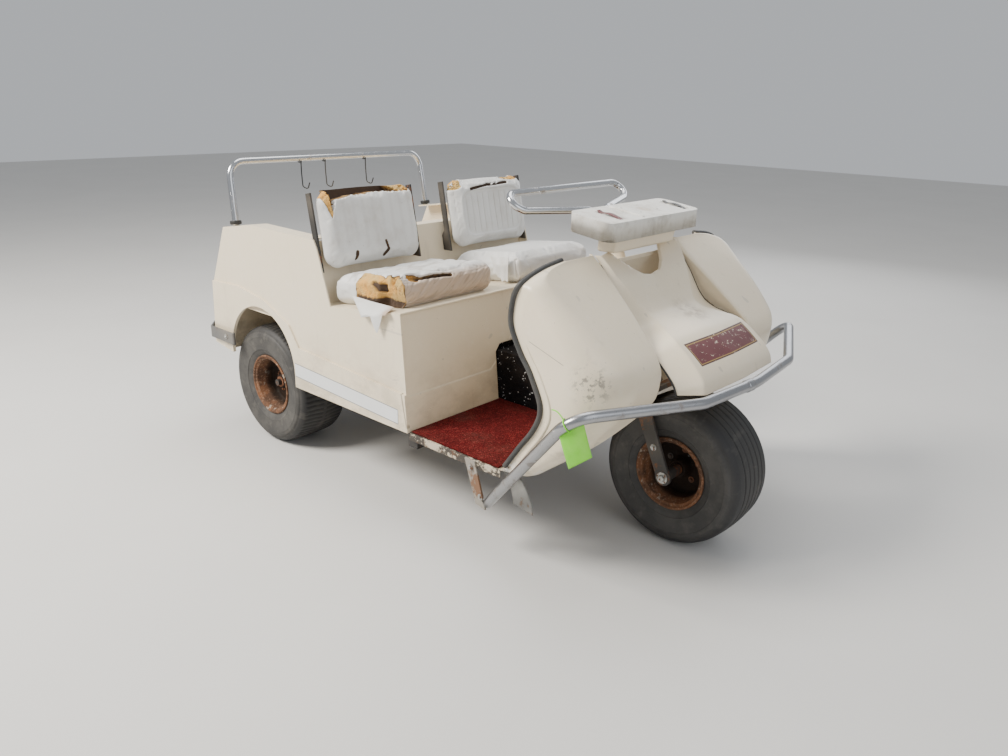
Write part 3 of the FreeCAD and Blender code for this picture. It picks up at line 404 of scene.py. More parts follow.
def zinc():
    finish = Finish("dull_zinc")
    fine = finish.cloud(300.0, 3.0)
    spots = finish.cloud(90.0, 5.0, 0.7, shift=2.0).rise(0.52, 0.6)
    shade = spots.tint((0.42, 0.42, 0.40), (0.17, 0.08, 0.04))
    return finish.wear(shade, spots * 0.5 + 0.38, (1.0 - spots) * 0.85, fine, 0.0002)


bolt_zinc = zinc()
U_BOLT = 0.0055
for sign, tag in SIDES:
    dress("leaf_spring_" + tag, spring_steel)
    leaf_low, leaf_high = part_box("leaf_spring_" + tag)
    centre = (leaf_low.x + leaf_high.x) / 2
    half_width = (leaf_high.x - leaf_low.x) / 2 + U_BOLT + 0.001
    for number, shift in enumerate((-0.028, 0.028)):
        y = REAR_AXLE[1] + shift
        z = REAR_AXLE[2]
        corners = [(centre - half_width, y, z + 0.062), (centre - half_width, y, z - 0.036),
                   (centre + half_width, y, z - 0.036), (centre + half_width, y, z + 0.062)]
        bar("u_bolt_%s_%d" % (tag, number), rounded(corners, 0.018), U_BOLT, bolt_zinc,
            "chassis", 12)
        hex_bolts("u_bolt_nuts_%s_%d" % (tag, number), [corners[0], corners[3]],
                  [(0, 0, 1)] * 2, 0.010, bolt_zinc, "chassis")

# The floor pan: one steel sheet with turned-down edges. Its cream paint has worn to dark metal
# along the step, where feet land.
def worn_step():
    finish = Finish("worn_step_paint")
    broad = finish.cloud(14.0, 6.0, 0.7, (1.0, 1.0, 2.0))
    fine = finish.cloud(90.0, 4.0, 0.7, shift=4.0)
    left = (broad * 0.65 + fine * 0.35).rise(0.50, 0.55)
    shade = left.tint((0.055, 0.045, 0.036), (0.55, 0.47, 0.35))
    rust = finish.cloud(30.0, 5.0, 0.7, shift=9.0).rise(0.55, 0.66)
    shade = (rust * 0.7).tint(shade, (0.15, 0.065, 0.028))
    return finish.wear(shade, 0.62 - left * 0.15, bump=left + fine * 0.4, depth=0.0006)


eased("floor_pan", 0.0015, worn_step())
strap_paint = old_paint("strap_paint", (0.36, 0.33, 0.28), (0.13, 0.07, 0.04), 0.53)
for tag in ("right", "left"):
    dress("bumper_strap_" + tag, strap_paint)

# Carpet: a dark red loop-pile mat on each side of the floor and a black speckled carpet glued
# over the middle tunnel and up behind the seat box's notch. Both are trodden, with grit.
def carpet(name, pile, fleck, fleck_size, fleck_share, grit):
    finish = Finish(name, {"Specular IOR Level": 0.1})
    loops = finish.grains(360.0)
    tufts = finish.cloud(210.0, 3.0, 0.75)
    patches = finish.cloud(16.0, 4.0, 0.6, shift=12.0).rise(0.35, 0.65)
    worn = finish.cloud(6.0, 4.0, 0.6, shift=2.0).rise(0.48, 0.78)
    dark = tuple(0.30 * part for part in pile)
    shade = tufts.rise(0.34, 0.66).tint(dark, tuple(1.5 * part for part in pile))
    shade = (patches * 0.35).tint(shade, dark)
    scattered = finish.cloud(fleck_size * 0.35, 2.0, 0.5, shift=6.0)
    flecks = (finish.grains(fleck_size).rise(0.34, 0.20)
              * scattered.rise(fleck_share, fleck_share + 0.04))
    shade = flecks.tint(shade, fleck)
    shade = (worn * grit).tint(shade, (0.20, 0.15, 0.11))
    return finish.wear(shade, worn * -0.05 + 0.98, bump=loops * -0.8 + tufts, depth=0.0025)


red_carpet = carpet("red_carpet", (0.105, 0.0095, 0.009), (0.30, 0.055, 0.045), 260.0, 0.50, 0.20)
for tag in ("right", "left"):
    eased("floor_mat_" + tag, 0.003, red_carpet)
black_carpet = carpet("black_carpet", (0.009, 0.009, 0.011), (0.62, 0.63, 0.64), 120.0, 0.55, 0.10)
eased("centre_tunnel", 0.014, black_carpet, steps=4)

# The moulded body: glass-fibre panels with a cream gelcoat that has yellowed, chalked and
# picked up specks. A white band between two grey lines runs along each side.
def gelcoat(name, marks=None, low_dirt=0.5):
    finish = Finish(name, {"Coat Roughness": 0.22, "Specular IOR Level": 0.45})
    broad = finish.cloud(2.4, 3.0)
    fine = finish.cloud(42.0, 6.0, 0.65, shift=5.0)
    shade = broad.tint((0.76, 0.645, 0.465), (0.83, 0.735, 0.575))
    shade = (fine.rise(0.50, 0.78) * 0.3).tint(shade, (0.86, 0.80, 0.68))
    splash = finish.cloud(9.0, 6.0, 0.7, (1.0, 1.0, 1.6), 3.0).rise(0.40, 0.66)
    dirt = finish.z.rise(0.58, 0.27) * splash * low_dirt
    shade = dirt.tint(shade, (0.33, 0.27, 0.19))
    streak = finish.cloud(30.0, 3.0, 0.6, (1.0, 1.0, 0.08), 7.0).rise(0.60, 0.74) * 0.16
    shade = streak.tint(shade, (0.42, 0.35, 0.25))
    chosen = finish.cloud(16.0, 2.0, shift=11.0).rise(0.52, 0.60)
    specks = finish.grains(70.0).rise(0.075, 0.035) * chosen
    shade = specks.tint(shade, (0.17, 0.12, 0.08))
    scratch = finish.cloud(26.0, 2.0, 0.4, (1.0, 0.12, 1.0), 13.0).rise(0.735, 0.745) * 0.5
    shade = scratch.tint(shade, (0.50, 0.45, 0.37))
    rough = fine * 0.22 + 0.30 + dirt * 0.25
    height = finish.cloud(5.0, 2.0, shift=1.0) * 1.6 + specks * -0.25 - scratch * 0.2
    if marks is not None:
        shade, rough, height = marks(finish, shade, rough, height)
    coat = 0.35 - dirt * 0.3
    return finish.wear(shade, rough, bump=height, depth=0.0012, coat=coat)


BAND_FRONT = FRONT_AXLE[1] + 0.728
BAND_LENGTH = 0.550
BAND_MIDDLE = 0.3282
BAND_RISE = 0.043
BAND_HALF = 0.0235


def side_marks(finish, shade, rough, height):
    """The band between its lines, scuffs by the step, and the groove at the wall's front edge with
    painted shade in it.
    """
    back = finish.y - BAND_FRONT
    off = abs(finish.z - back * BAND_RISE - BAND_MIDDLE)
    length = back.between(0.0, BAND_LENGTH, 0.001)
    chipped = finish.cloud(120.0, 4.0, 0.7, shift=15.0).rise(0.72, 0.66)
    band = off.rise(BAND_HALF + 0.001, BAND_HALF) * length * chipped
    shade = (band * 0.85).tint(shade, (0.74, 0.77, 0.80))
    edge = off.between(BAND_HALF - 0.0006, BAND_HALF + 0.0016, 0.0006)
    front = back.between(-0.0022, 0.0004, 0.0006) * off.rise(BAND_HALF + 0.002, BAND_HALF)
    lines = (edge * length).most(front) * chipped
    shade = (lines * 0.9).tint(shade, (0.16, 0.17, 0.18))
    scuffs = finish.cloud(24.0, 5.0, 0.75, (1.0, 0.4, 1.2), 17.0).rise(0.60, 0.68)
    scuffs = scuffs * finish.y.rise(BAND_FRONT + 0.25, BAND_FRONT - 0.05) * 0.5
    shade = scuffs.tint(shade, (0.38, 0.33, 0.26))
    lean = abs(finish.y - FRONT_AXLE[1] - 0.686 - (finish.z - 0.297) * 0.212)
    # the groove is sunk by the bump and darkened with painted shade
    groove_and_shade = lean.rise(0.0034, 0.0016) * finish.z.between(0.302, 0.408, 0.004)
    shade = (groove_and_shade * 0.55).tint(shade, (0.20, 0.16, 0.11))
    return shade, rough, height - groove_and_shade * 2.5


side_gelcoat = gelcoat("side_gelcoat", side_marks)
body_gelcoat = gelcoat("body_gelcoat")
for tag in ("right", "left"):
    eased("side_panel_" + tag, 0.0042, side_gelcoat, steps=3)
    eased("wheel_house_" + tag, 0.006, gelcoat("wheel_house_gelcoat_" + tag, low_dirt=0.95))
eased("seat_deck", 0.0042, body_gelcoat, steps=3)
eased("bag_floor", 0.0015, gelcoat("bag_floor_gelcoat", low_dirt=0.9))
eased("rear_panel", 0.002, body_gelcoat)

CREASE_OUT = 0.131
CREASE_UP = 0.400


def panel_marks(finish, shade, rough, height):
    """The seat box panel's moulded step: level outboard, and up beside the tunnel's notch."""
    across = abs(finish.x)
    inboard = (CREASE_OUT - across).most(0.0) * 0.86
    raised = (finish.z - inboard - CREASE_UP).rise(0.004, -0.004)
    rub = finish.cloud(12.0, 5.0, 0.7, (0.6, 1.0, 1.0), 21.0).rise(0.55, 0.68)
    rub = rub * finish.z.rise(0.46, 0.30) * 0.28
    return rub.tint(shade, (0.30, 0.24, 0.17)), rough + rub * 0.2, height + raised * 3.2


eased("seat_box_panel", 0.003, gelcoat("seat_box_gelcoat", panel_marks, 0.32), steps=3)

# Bulkhead: a plain gelcoat panel that closes the seat box behind, bent from the seat deck's rear
# edge down to the bag floor. The photograph hides it, so its form is a guess.
def walled(piece, thickness):
    """Give a sheet its wall on the inner side, with closed edges."""
    wall = piece.modifiers.new("wall", "SOLIDIFY")
    wall.thickness = thickness
    wall.offset = -1.0
    wall.use_even_offset = False


def faced_out(points, inward, faces):
    """Faces turned so that most of them look away from a point inside the piece."""
    points = points.reshape(-1, 3)
    corners = points[faces]
    normal = np.cross(corners[:, 2] - corners[:, 0], corners[:, 3] - corners[:, 1])
    outward = corners.mean(axis=1) - inward
    return faces[:, ::-1] if (normal * outward).sum() < 0 else faces


def skin(name, points, inward, material, thickness):
    """A walled sheet from a grid of points, its outer side turned from the inward place."""
    faces = faced_out(points, np.asarray(inward), grid_faces(*points.shape[:2]))
    piece = new_piece(name, points, faces, material, "chassis")
    walled(piece, thickness)
    return piece


def smooth(value, low, high):
    """The smooth step 3t^2 - 2t^3 of a value between low and high."""
    t = np.clip((value - low) / (high - low), 0, 1)
    return t * t * (3 - 2 * t)


def grid(rows, columns, first_column):
    """Two grids: a share from 0 to 1 down the rows, and one from first_column to 1 along them."""
    return np.meshgrid(np.linspace(0, 1, rows), np.linspace(first_column, 1, columns),
                       indexing="ij")


fall, over = grid(20, 40, -1)
bulkhead = at(over * 510, 1128 + 66 * smooth(fall, 0, 1), 611 - 182 * fall)
skin("seat_box_bulkhead", bulkhead, at(0.0, 900.0, 500.0),
     gelcoat("bulkhead_gelcoat", low_dirt=0.8), 0.004)

# Carpet upstand: a panel of the black carpet glued up the seat box's notch, from the floor to
# above its top edge, and bowed back between its sides.
lift, over = grid(24, 30, -1)
upstand = at(over * 132, 702 + 22 * lift + 3 * (1 - over ** 2), 262 + 242 * lift)
skin("tunnel_upstand", upstand, upstand.mean(axis=(0, 1)) + np.array([0, 0.1, 0]), black_carpet,
     0.004)

# The fenders: one moulding each side whose flank rounds the front corner and ends in a flange
# beside the cowl. They are bolted to the cowl and to the footwell's liner.
SHELL_HALF = 519.0
SHELL_WALL = 0.005
RIM_STEP = 2.5
# inset of the flank, rear edge along and up, front along and up, inner edge across and back,
# flange depth, corner bend, all in millimetres, from the floor to the shoulder
FENDER = np.array([
    (0, 292, 287, 189, 298, 455, 0, 14, 48), (1, 228, 381, 105, 370, 450, -12, 14, 52),
    (3, 188, 433, 45, 428, 425, -26, 14, 62), (4, 163, 485, 0, 480, 300, -12, 16, 95),
    (4, 163, 527, -32, 522, 252, -2, 24, 125), (6, 209, 610, -57, 602, 262, 9, 48, 145),
    (7, 236, 640, -38, 639, 262, 7, 64, 120), (1, 276, 723, 55, 720, 240, 0, 120, 78),
    (0, 264, 799, 144, 797, 224, 0, 64, 60), (2, 247, 829, 181, 829, 215, 2, 30, 46),
    (32, 238, 849, 204, 849, 214, 2, 20, 24), (92, 237, 865, 221, 864, 217, 1, 15, 8),
    (166, 237, 874, 228, 873, 220, 1, 15, 8)], float)


def flowing(table, steps, passes):
    """Rows set between a table's rows, each value joined by straight lines and then eased.

    One easing pass gives each inner row a quarter of both neighbours and half of itself.
    """
    place = np.arange(len(table))
    fine = np.linspace(0, len(table) - 1, (len(table) - 1) * steps + 1)
    rows = np.stack([np.interp(fine, place, column) for column in table.T], axis=1)
    for _ in range(passes):
        rows[1:-1] = rows[:-2] * 0.25 + rows[1:-1] * 0.5 + rows[2:] * 0.25
    return rows


def fender_points(rows, sign):
    """A level row of points for each section: along the flank, round the corner, across.

    The flank's first 20 mm are set in, and ramp out to its face over the next 16 mm.
    """
    inset, trim_along, trim_up, along, up, inner, back, flange, bend = rows.T
    front = at(0, along, up)
    rearward = at(0, trim_along, trim_up) - front
    depth = np.linalg.norm(rearward, axis=1) * 1000
    rearward /= np.linalg.norm(rearward, axis=1, keepdims=True)
    outer = SHELL_HALF - inset
    across = np.stack([outer, outer, inner, inner], axis=1)
    behind = np.stack([depth, 0 * depth, back, back + flange], axis=1)
    corners = front[:, None] + rearward[:, None] * behind[..., None] / 1000
    corners[..., 0] += sign * across / 1000
    bends = np.stack([bend, np.full_like(bend, 12.0)], axis=1) / 1000
    points = rounded(corners, bends, 14, 26)
    from_edge = np.linalg.norm(points - points[:, :1], axis=-1) * 1000
    lip = RIM_STEP * (1 - np.clip((from_edge - 20) / 16, 0, 1))
    lip = lip * np.clip((depth - 60) / 60, 0, 1)[:, None]
    points[..., 0] -= sign * lip / 1000
    return points


def fender_marks(finish, shade, rough, height):
    """Grey scuffs on the shoulder, a long scratch, and white chips along the lower lip."""
    wander = finish.cloud(34.0, 5.0, 0.75, shift=23.0)
    scuff = finish.near((-0.50, FRONT_AXLE[1] + 0.02, 0.604), 0.075) * wander.rise(0.50, 0.58)
    shade = (scuff * 0.7).tint(shade, (0.13, 0.12, 0.11))
    low = finish.z.rise(0.345, 0.305)
    chips = low * finish.cloud(50.0, 5.0, 0.7, shift=27.0).rise(0.50, 0.54)
    shade = (chips * 0.8).tint(shade, (0.80, 0.78, 0.72))
    bare = low * finish.cloud(36.0, 5.0, 0.7, shift=31.0).rise(0.60, 0.64)
    shade = bare.tint(shade, (0.20, 0.16, 0.12))
    line = abs(finish.z - 0.668 - (finish.y - FRONT_AXLE[1] - 0.16) * 0.35).rise(0.0016, 0.0007)
    line = line * finish.y.between(FRONT_AXLE[1] + 0.10, FRONT_AXLE[1] + 0.21, 0.004)
    shade = (line * finish.x.rise(0.0, -0.1) * 0.7).tint(shade, (0.26, 0.22, 0.17))
    return shade, rough + scuff * 0.2, height - chips * 0.4 - bare * 0.6 - line * 0.3


fender_gelcoat = gelcoat("fender_gelcoat", fender_marks, 0.7)
fender_rows = flowing(FENDER, 10, 14)
for sign, tag in SIDES:
    fender = skin("fender_shell_" + tag, fender_points(fender_rows, sign),
                  at(sign * 300.0, 250.0, 500.0), fender_gelcoat, SHELL_WALL)
    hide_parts("fender_" + tag)

# Edge trim: a black rubber channel pressed over the fender's rear edge and the liner's, from the
# floor to the shoulder, where it turns in towards the tower. A bead moulded into the flank runs
# beside it.
def rubber(name, tone=0.022):
    finish = Finish(name)
    grain = finish.cloud(220.0, 3.0, 0.6)
    dust = finish.cloud(8.0, 5.0, 0.65, shift=2.0).rise(0.42, 0.70)
    shade = grain.tint((tone * 0.7,) * 3, (tone * 1.7,) * 3)
    shade = (dust * 0.45).tint(shade, (0.15, 0.135, 0.115))
    return finish.wear(shade, dust * 0.2 + 0.55, bump=grain, depth=0.0003)


TRIM_RADIUS = 0.0076
BEAD_RADIUS = 0.0044
BEAD_FROM_EDGE = 0.030
trim_rubber = rubber("trim_rubber", 0.035)
for sign, tag in SIDES:
    flank = fender_points(fender_rows, sign)
    edge = flank[2:, 0] + np.array([0.0022 * sign, 0.003, 0.0])
    bar("shell_trim_" + tag, edge, TRIM_RADIUS, trim_rubber, "chassis", 16)
    flank = flank[4:66]
    ahead = flank[:, 12] - flank[:, 0]
    ahead /= np.linalg.norm(ahead, axis=1, keepdims=True)
    bead = flank[:, 0] + ahead * BEAD_FROM_EDGE + np.array([sign * 0.0002, 0, 0])
    size = BEAD_RADIUS * np.minimum(1, np.sin(np.linspace(0, math.pi, len(bead))) * 4 + 0.1)
    bar("fender_bead_" + tag, bead, size, fender_gelcoat, "chassis", 12)
eased("inner_liner", 0.003, gelcoat("liner_gelcoat", low_dirt=0.8))

# The centre cowl: a moulding that rises from the nose to a tower for the tray. Its top is scooped
# out round the column, a maroon plate is stuck on its slope, and dark sealant runs down its edges.
# crest across, along and up, slope in degrees, edge across and its drop, the middle's drop, bend
COWL = np.array([
    (205, 216, 871, 0, 215.5, 15, 68, 5), (197, 190, 843, -20, 209.5, 16, 31, 7),
    (186, 170, 815, -40, 212.5, 16, 12, 8), (172, 152, 793, -46, 218.5, 20, 10, 12),
    (159, 133, 765, -46, 223.5, 24, 8, 14), (147, 117, 737, -48, 228.5, 26, 5, 16),
    (129, 94, 711, -55, 232.5, 28, 2, 18), (126, 66, 696, -65, 237.5, 28, -3, 18),
    (156, 21, 685, -68, 247.5, 30, -4, 18), (185, -29, 673, -62, 260.5, 37, -4, 20),
    (193, -74, 642, -50, 262.5, 40, -3, 22), (198, -116, 606, -40, 262.5, 46, -5, 24),
    (201, -140, 576, -20, 262.5, 54, -6, 24), (203, -146, 548, 0, 258.5, 56, -8, 24)], float)
SCOOP = [(-158, 916), (-150, 900), (-133, 869), (-106, 843), (-80, 822), (-45, 803), (0, 796),
         (45, 803), (80, 822), (106, 843), (133, 869), (150, 900), (158, 916)]


def cowl_points(rows):
    """For each row a section from edge to edge over both crests, sloped about its own middle."""
    crest, along, up, slope, edge, edge_drop, middle_drop, bend = rows.T
    lean = np.radians(slope)
    across = np.stack([-edge, -crest, 0 * crest, crest, edge], axis=1)
    drop = np.stack([edge_drop, 0 * edge_drop, middle_drop, 0 * edge_drop, edge_drop], axis=1)
    corners = at(across, along[:, None] + drop * np.cos(lean)[:, None],
                 up[:, None] + drop * np.sin(lean)[:, None])
    middle = np.minimum(300.0, 60.0 * crest / np.maximum(np.abs(middle_drop), 1.0))
    return rounded(corners, np.stack([bend, middle, bend], axis=1) / 1000, 14, 10)


def cowl_marks(finish, shade, rough, height):
    """The blank plate with its gold border, chipped at its edges, and a tan stain above it."""
    across = abs(finish.x)
    inside = across.rise(0.1692, 0.1682) * finish.z.between(0.6125, 0.6605, 0.0005)
    field = across.rise(0.1652, 0.1646) * finish.z.between(0.6150, 0.6580, 0.0004)
    ring = across.rise(0.1622, 0.1616) * finish.z.between(0.6168, 0.6562, 0.0004)
    faded = finish.cloud(20.0, 5.0, 0.7, shift=33.0)
    worn = finish.cloud(70.0, 5.0, 0.75, shift=35.0).rise(0.66, 0.60)
    maroon = faded.tint((0.075, 0.012, 0.016), (0.16, 0.035, 0.035))
    plate = (field * (1.0 - ring) * 0.9).tint(maroon, (0.40, 0.27, 0.08))
    plate = (inside - field).tint(plate, (0.06, 0.012, 0.014))
    shade = (inside * worn).tint(shade, plate)
    stain = finish.near((0.045, FRONT_AXLE[1] + 0.055, 0.695), 0.075)
    stain = stain * finish.cloud(30.0, 4.0, 0.7, shift=39.0).rise(0.38, 0.62)
    shade = (stain * 0.7).tint(shade, (0.36, 0.27, 0.17))
    return shade, rough - inside * worn * 0.1, height + inside * worn * 0.12


def settled(piece):
    """The piece's mesh with its modifiers worked in."""
    piece.data = bpy.data.meshes.new_from_object(
        piece.evaluated_get(bpy.context.evaluated_depsgraph_get()))
    piece.modifiers.clear()
    return piece.data


def cleaned(mesh, near):
    """Join a mesh's points that lie nearer than near, and turn its faces outward."""
    work = bmesh.new()
    work.from_mesh(mesh)
    bmesh.ops.remove_doubles(work, verts=work.verts, dist=near)
    bmesh.ops.recalc_face_normals(work, faces=work.faces)
    work.to_mesh(mesh)
    work.free()


cowl_grid = cowl_points(flowing(COWL, 8, 10))
cowl = skin("cowl_shell", cowl_grid, at(0.0, 240.0, 600.0),
            gelcoat("cowl_gelcoat", cowl_marks, 0.6), SHELL_WALL)
scoop_outline = np.array(SCOOP, float)
scoop_ends = [at(scoop_outline[:, 0], along, scoop_outline[:, 1]) for along in (118.0, 400.0)]
count = len(SCOOP)
scoop_faces = [[one, (one + 1) % count, count + (one + 1) % count, count + one]
               for one in range(count)] + [list(range(count))[::-1], list(range(count, 2 * count))]
scoop = new_piece("cowl_scoop", np.concatenate(scoop_ends), scoop_faces, cowl.data.materials[0],
                  "chassis", False)
cleaned(scoop.data, 1e-7)
opened = cowl.modifiers.new("scoop", "BOOLEAN")
opened.operation = "DIFFERENCE"
opened.solver = "EXACT"
opened.object = scoop
settled(cowl)
bpy.data.objects.remove(scoop)
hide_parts("centre_cowl")
sealant = rubber("seam_sealant", 0.012)
for edge, tag in ((0, "right"), (-1, "left")):
    bar("cowl_seam_" + tag, cowl_grid[6:, edge] + np.array([0, 0, -0.001]), 0.0026, sealant,
        "chassis", 10)

# Tray: an off-white moulded tray for score cards on a solid foot. It has a ridge across it, four
# screw holes and a spring clip at each end of its pockets.
def tray_plastic():
    finish = Finish("tray_plastic", {"Specular IOR Level": 0.4})
    fine = finish.cloud(60.0, 5.0, 0.7)
    grime = finish.cloud(14.0, 6.0, 0.72, shift=3.0).rise(0.46, 0.66)
    shade = fine.tint((0.66, 0.645, 0.60), (0.78, 0.77, 0.735))
    shade = (grime * 0.45).tint(shade, (0.36, 0.32, 0.26))
    stain = finish.near((0.03, FRONT_AXLE[1] + 0.235, 0.978), 0.035) * fine.rise(0.35, 0.6)
    shade = (stain * 0.5).tint(shade, (0.46, 0.34, 0.20))
    drips = finish.cloud(22.0, 3.0, 0.6, (1, 1, 0.15), 5.0).rise(0.5, 0.7)
    flank = finish.z.rise(0.968, 0.93) * drips
    shade = (flank * 0.35).tint(shade, (0.30, 0.26, 0.20))
    return finish.wear(shade, fine * 0.2 + 0.45, bump=fine * 0.5 + grime * 0.3, depth=0.0006)


white_tray = tray_plastic()
tray_low, tray_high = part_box("score_tray")
eased("score_tray", 0.0075, white_tray, lambda middles: (
    (middles[:, 2] > tray_low.z + 0.03)
    & ((middles[:, 1] < tray_low.y + 0.031) | (middles[:, 1] > tray_high.y - 0.031)
       | (np.abs(middles[:, 0]) > 0.2165))), steps=5)
eased("tray_base", 0.010, gelcoat("tray_foot_gelcoat", low_dirt=0.3), steps=4)
TRAY_SLOPE = 20 / 146


def on_tray(across, along, raised=0.0):
    """A place on the tray's top, a little raised, in metres."""
    return at(across, along, 968 + (np.asarray(along, float) - 165) * TRAY_SLOPE + raised)


ridge = on_tray(-60.0, np.linspace(178, 298, 9), 0.5)
bar("tray_ridge", ridge, 0.0035, white_tray, "chassis", 12)
hex_bolts("tray_screws", on_tray([-35.0, -13.0, 80.0], [274.0, 218.0, 221.0], -1.5),
          [(0, -TRAY_SLOPE, 1)] * 3, 0.0042, bolt_zinc, "chassis")


def spring_clip(name, across, along, tip_colour):
    """A sprung strip whose height rises, dips and curls up again along its length."""
    length = np.linspace(-1, 1, 40)
    lift = 1.5 + 3.5 * np.cos(length * 2.6) + 4.0 * np.clip(length - 0.72, 0, 1) * 6
    width = 11.5 - 2.5 * length ** 2
    place = across + width[:, None] * (-1, -0.6, 0.6, 1)
    crown = np.stack([lift - 0.8, lift, lift, lift - 0.8], 1)
    points = on_tray(place, along + length[:, None] * 40, crown)
    finish = Finish(name + "_enamel")
    fine = finish.cloud(110.0, 4.0, 0.7)
    chipped = fine.rise(0.56, 0.60)
    shade = chipped.tint(tip_colour, (0.30, 0.28, 0.26))
    material = finish.wear(shade, fine * 0.3 + 0.3, chipped * 0.8, fine, 0.0002)
    skin(name, points, points.mean(axis=(0, 1)) - np.array([0, 0, 0.1]), material,
         0.0014)


spring_clip("card_clip_right", -150.0, 232.0, (0.13, 0.030, 0.028))
spring_clip("card_clip_left", 200.0, 232.0, (0.030, 0.030, 0.030))

# Steering column: a fixed sleeve round the stem, painted cream where it shows in the scoop, with
# a rolled rubber collar at its top.
eased("column_tube", 0.002, gelcoat("column_paint", low_dirt=0.3), steps=3)
LEAN = math.radians(24.0)
AXIS = np.array([0.0, math.sin(LEAN), math.cos(LEAN)])
AXIS_FOOT = FRONT_AXLE + np.array([0.0, 0.027 * math.cos(LEAN), -0.027 * math.sin(LEAN)])
turn = np.linspace(0, 2 * math.pi, 40)
square = np.array([0.0, math.cos(LEAN), -math.sin(LEAN)])


def axis_ring(height, radius):
    """A ring of points about the steering axis at a height up it."""
    return (AXIS_FOOT + AXIS * height + np.cos(turn)[:, None] * radius * np.array([1.0, 0, 0])
            + np.sin(turn)[:, None] * radius * square)


bar("column_collar", axis_ring(0.7065, 0.0215), 0.0042, trim_rubber, "chassis", 12)

# Handle loop: one bent tube clamped on the stem, which both riders can reach. Its chrome is dull
# with fine pits, and brown where hands have worn it through.
def plated(name, tone, pits, gloss, brown):
    finish = Finish(name)
    fine = finish.cloud(260.0, 3.0, 0.7)
    broad = finish.cloud(12.0, 5.0, 0.7, shift=3.0)
    spots = finish.grains(330.0).rise(0.24, 0.12)
    spots = spots * finish.cloud(40.0, 3.0, shift=6.0).rise(0.50, 0.6)
    stain = broad.rise(pits, pits + 0.10)
    shade = fine.tint(tuple(0.86 * part for part in tone), tone)
    shade = (stain * 0.75).tint(shade, brown)
    shade = (spots * 0.9).tint(shade, (0.14, 0.075, 0.04))
    metal = 1.0 - (stain * 0.55).most(spots * 0.8)
    rough = stain * 0.32 + fine * 0.10 + gloss + spots * 0.3
    return finish.wear(shade, rough, metal, fine * 0.2 - spots, 0.0003)


def mirrored_path(half):
    """A path given on the right side in millimetres, and its mirror image run back."""
    half = np.asarray(half, float)
    other = half[::-1] * (-1, 1, 1)
    if abs(half[-1, 0]) < 1e-6:
        other = other[1:]
    both = np.concatenate([half, other])
    return at(both[:, 0], both[:, 1], both[:, 2])


chrome = plated("dull_chrome", (0.62, 0.63, 0.645), 0.60, 0.12, (0.33, 0.27, 0.21))
LOOP = [(-14, 352, 946), (-46, 382, 966), (-256, 461, 974), (-300, 487, 998), (-258, 511, 1019)]
LOOP_BENDS = np.array([24, 40, 30, 34, 34, 30, 40, 24]) / 1000
loop_path = rounded(mirrored_path(LOOP), LOOP_BENDS, 9, 7)
handle = bar("handle_loop_tube", loop_path, 0.011, chrome, "steering", 24)
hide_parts("handle_loop")
clamp_path = AXIS_FOOT + AXIS * np.linspace(0.7785, 0.812, 8)[:, None]
bar("handle_clamp_sleeve", clamp_path, np.array([20, 21.5, 22, 22, 22, 22, 21.5, 20]) / 1000,
    old_paint("clamp_paint", (0.10, 0.095, 0.09), rusting=0.5), "steering", 28)
both_sides = np.array([(-1, 0, 0), (1, 0, 0)])
hex_bolts("handle_clamp_bolts", AXIS_FOOT + AXIS * 0.795 + 0.0215 * both_sides, both_sides,
          0.009, bolt_zinc, "steering")

# Fork, stem and front axle: flat steel legs welded to a crown, bolted round the axle. The leg
# carries a bright bolt half way down, and the axle ends in nuts.
fork_paint = old_paint("fork_paint", (0.045, 0.04, 0.036), rusting=0.49)
eased("fork_and_stem", 0.0022, fork_paint)
dress("front_axle", fork_paint)
LEG_FACE = 0.1312
mid_leg = AXIS_FOOT + AXIS * 0.095 - square * 0.027
fork_bolts = [(place, sign, size) for sign in (-1, 1)
              for place, size in ((FRONT_AXLE, 0.019), (mid_leg, 0.011))]
for number, (place, sign, size) in enumerate(fork_bolts):
    hex_bolts("fork_bolt_%d" % number, [place + np.array([sign * LEG_FACE, 0, 0])],
              [(sign, 0, 0)], size, bolt_zinc, "steering")

# Front bumper: one tube bent round the nose and down to the floor, plated, scraped and pitted.
# A clamped sleeve sits beside its middle and flat straps tie its low ends to the floor.
dull_plate = plated("dull_plating", (0.40, 0.405, 0.42), 0.57, 0.24, (0.22, 0.19, 0.165))
BUMPER = [(-512, 351, 160), (-625, -14, 564), (-262, -172, 548), (0, -192, 545)]
BUMPER_BENDS = np.array([70, 90, 400, 90, 70]) / 1000
bumper_path = rounded(mirrored_path(BUMPER), BUMPER_BENDS, 13, 18)
bumper = bar("front_bumper_tube", bumper_path, 0.0155, dull_plate, "chassis", 32)
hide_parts("front_bumper")
near_middle = bumper_path[np.abs(bumper_path[:, 0] + 0.042) < 0.020]
sleeve_path = near_middle[0] + (near_middle[-1] - near_middle[0]) * np.linspace(0, 1, 12)[:, None]
swell = np.array([16.0] + [17.6, 16.8, 16.8] * 3 + [17.6, 16.0]) / 1000
bar("bumper_sleeve", sleeve_path, swell, dull_plate, "chassis", 32)
strap_bolts = at([-527.0, -527.0, 527.0, 527.0], [368.0, 408.0, 368.0, 408.0],
                 [180.0, 262.0, 180.0, 262.0])
hex_bolts("strap_bolts", strap_bolts, [(-1, 0, 0), (-1, 0, 0), (1, 0, 0), (1, 0, 0)], 0.010,
          bolt_zinc, "chassis")

# Foot bracket: a grey steel plate under the floor beside the bumper's low end, bent back in a
# curve. It is welded to the pan's edge, and its lower end hangs free.
bracket_steel = old_paint("bracket_steel", (0.30, 0.295, 0.275), (0.15, 0.085, 0.05), 0.56)
fall, over = grid(26, 14, -1)
for sign, tag in SIDES:
    plate = at(sign * (490 - 4 * fall + 2 * over ** 2),
               282 + 36 * over - 26 * fall - 22 * np.sin(fall * 2.2), 272 - 100 * fall + 6 * over)
    skin("foot_bracket_" + tag, plate, at(0.0, 240.0, 250.0), bracket_steel, 0.004)

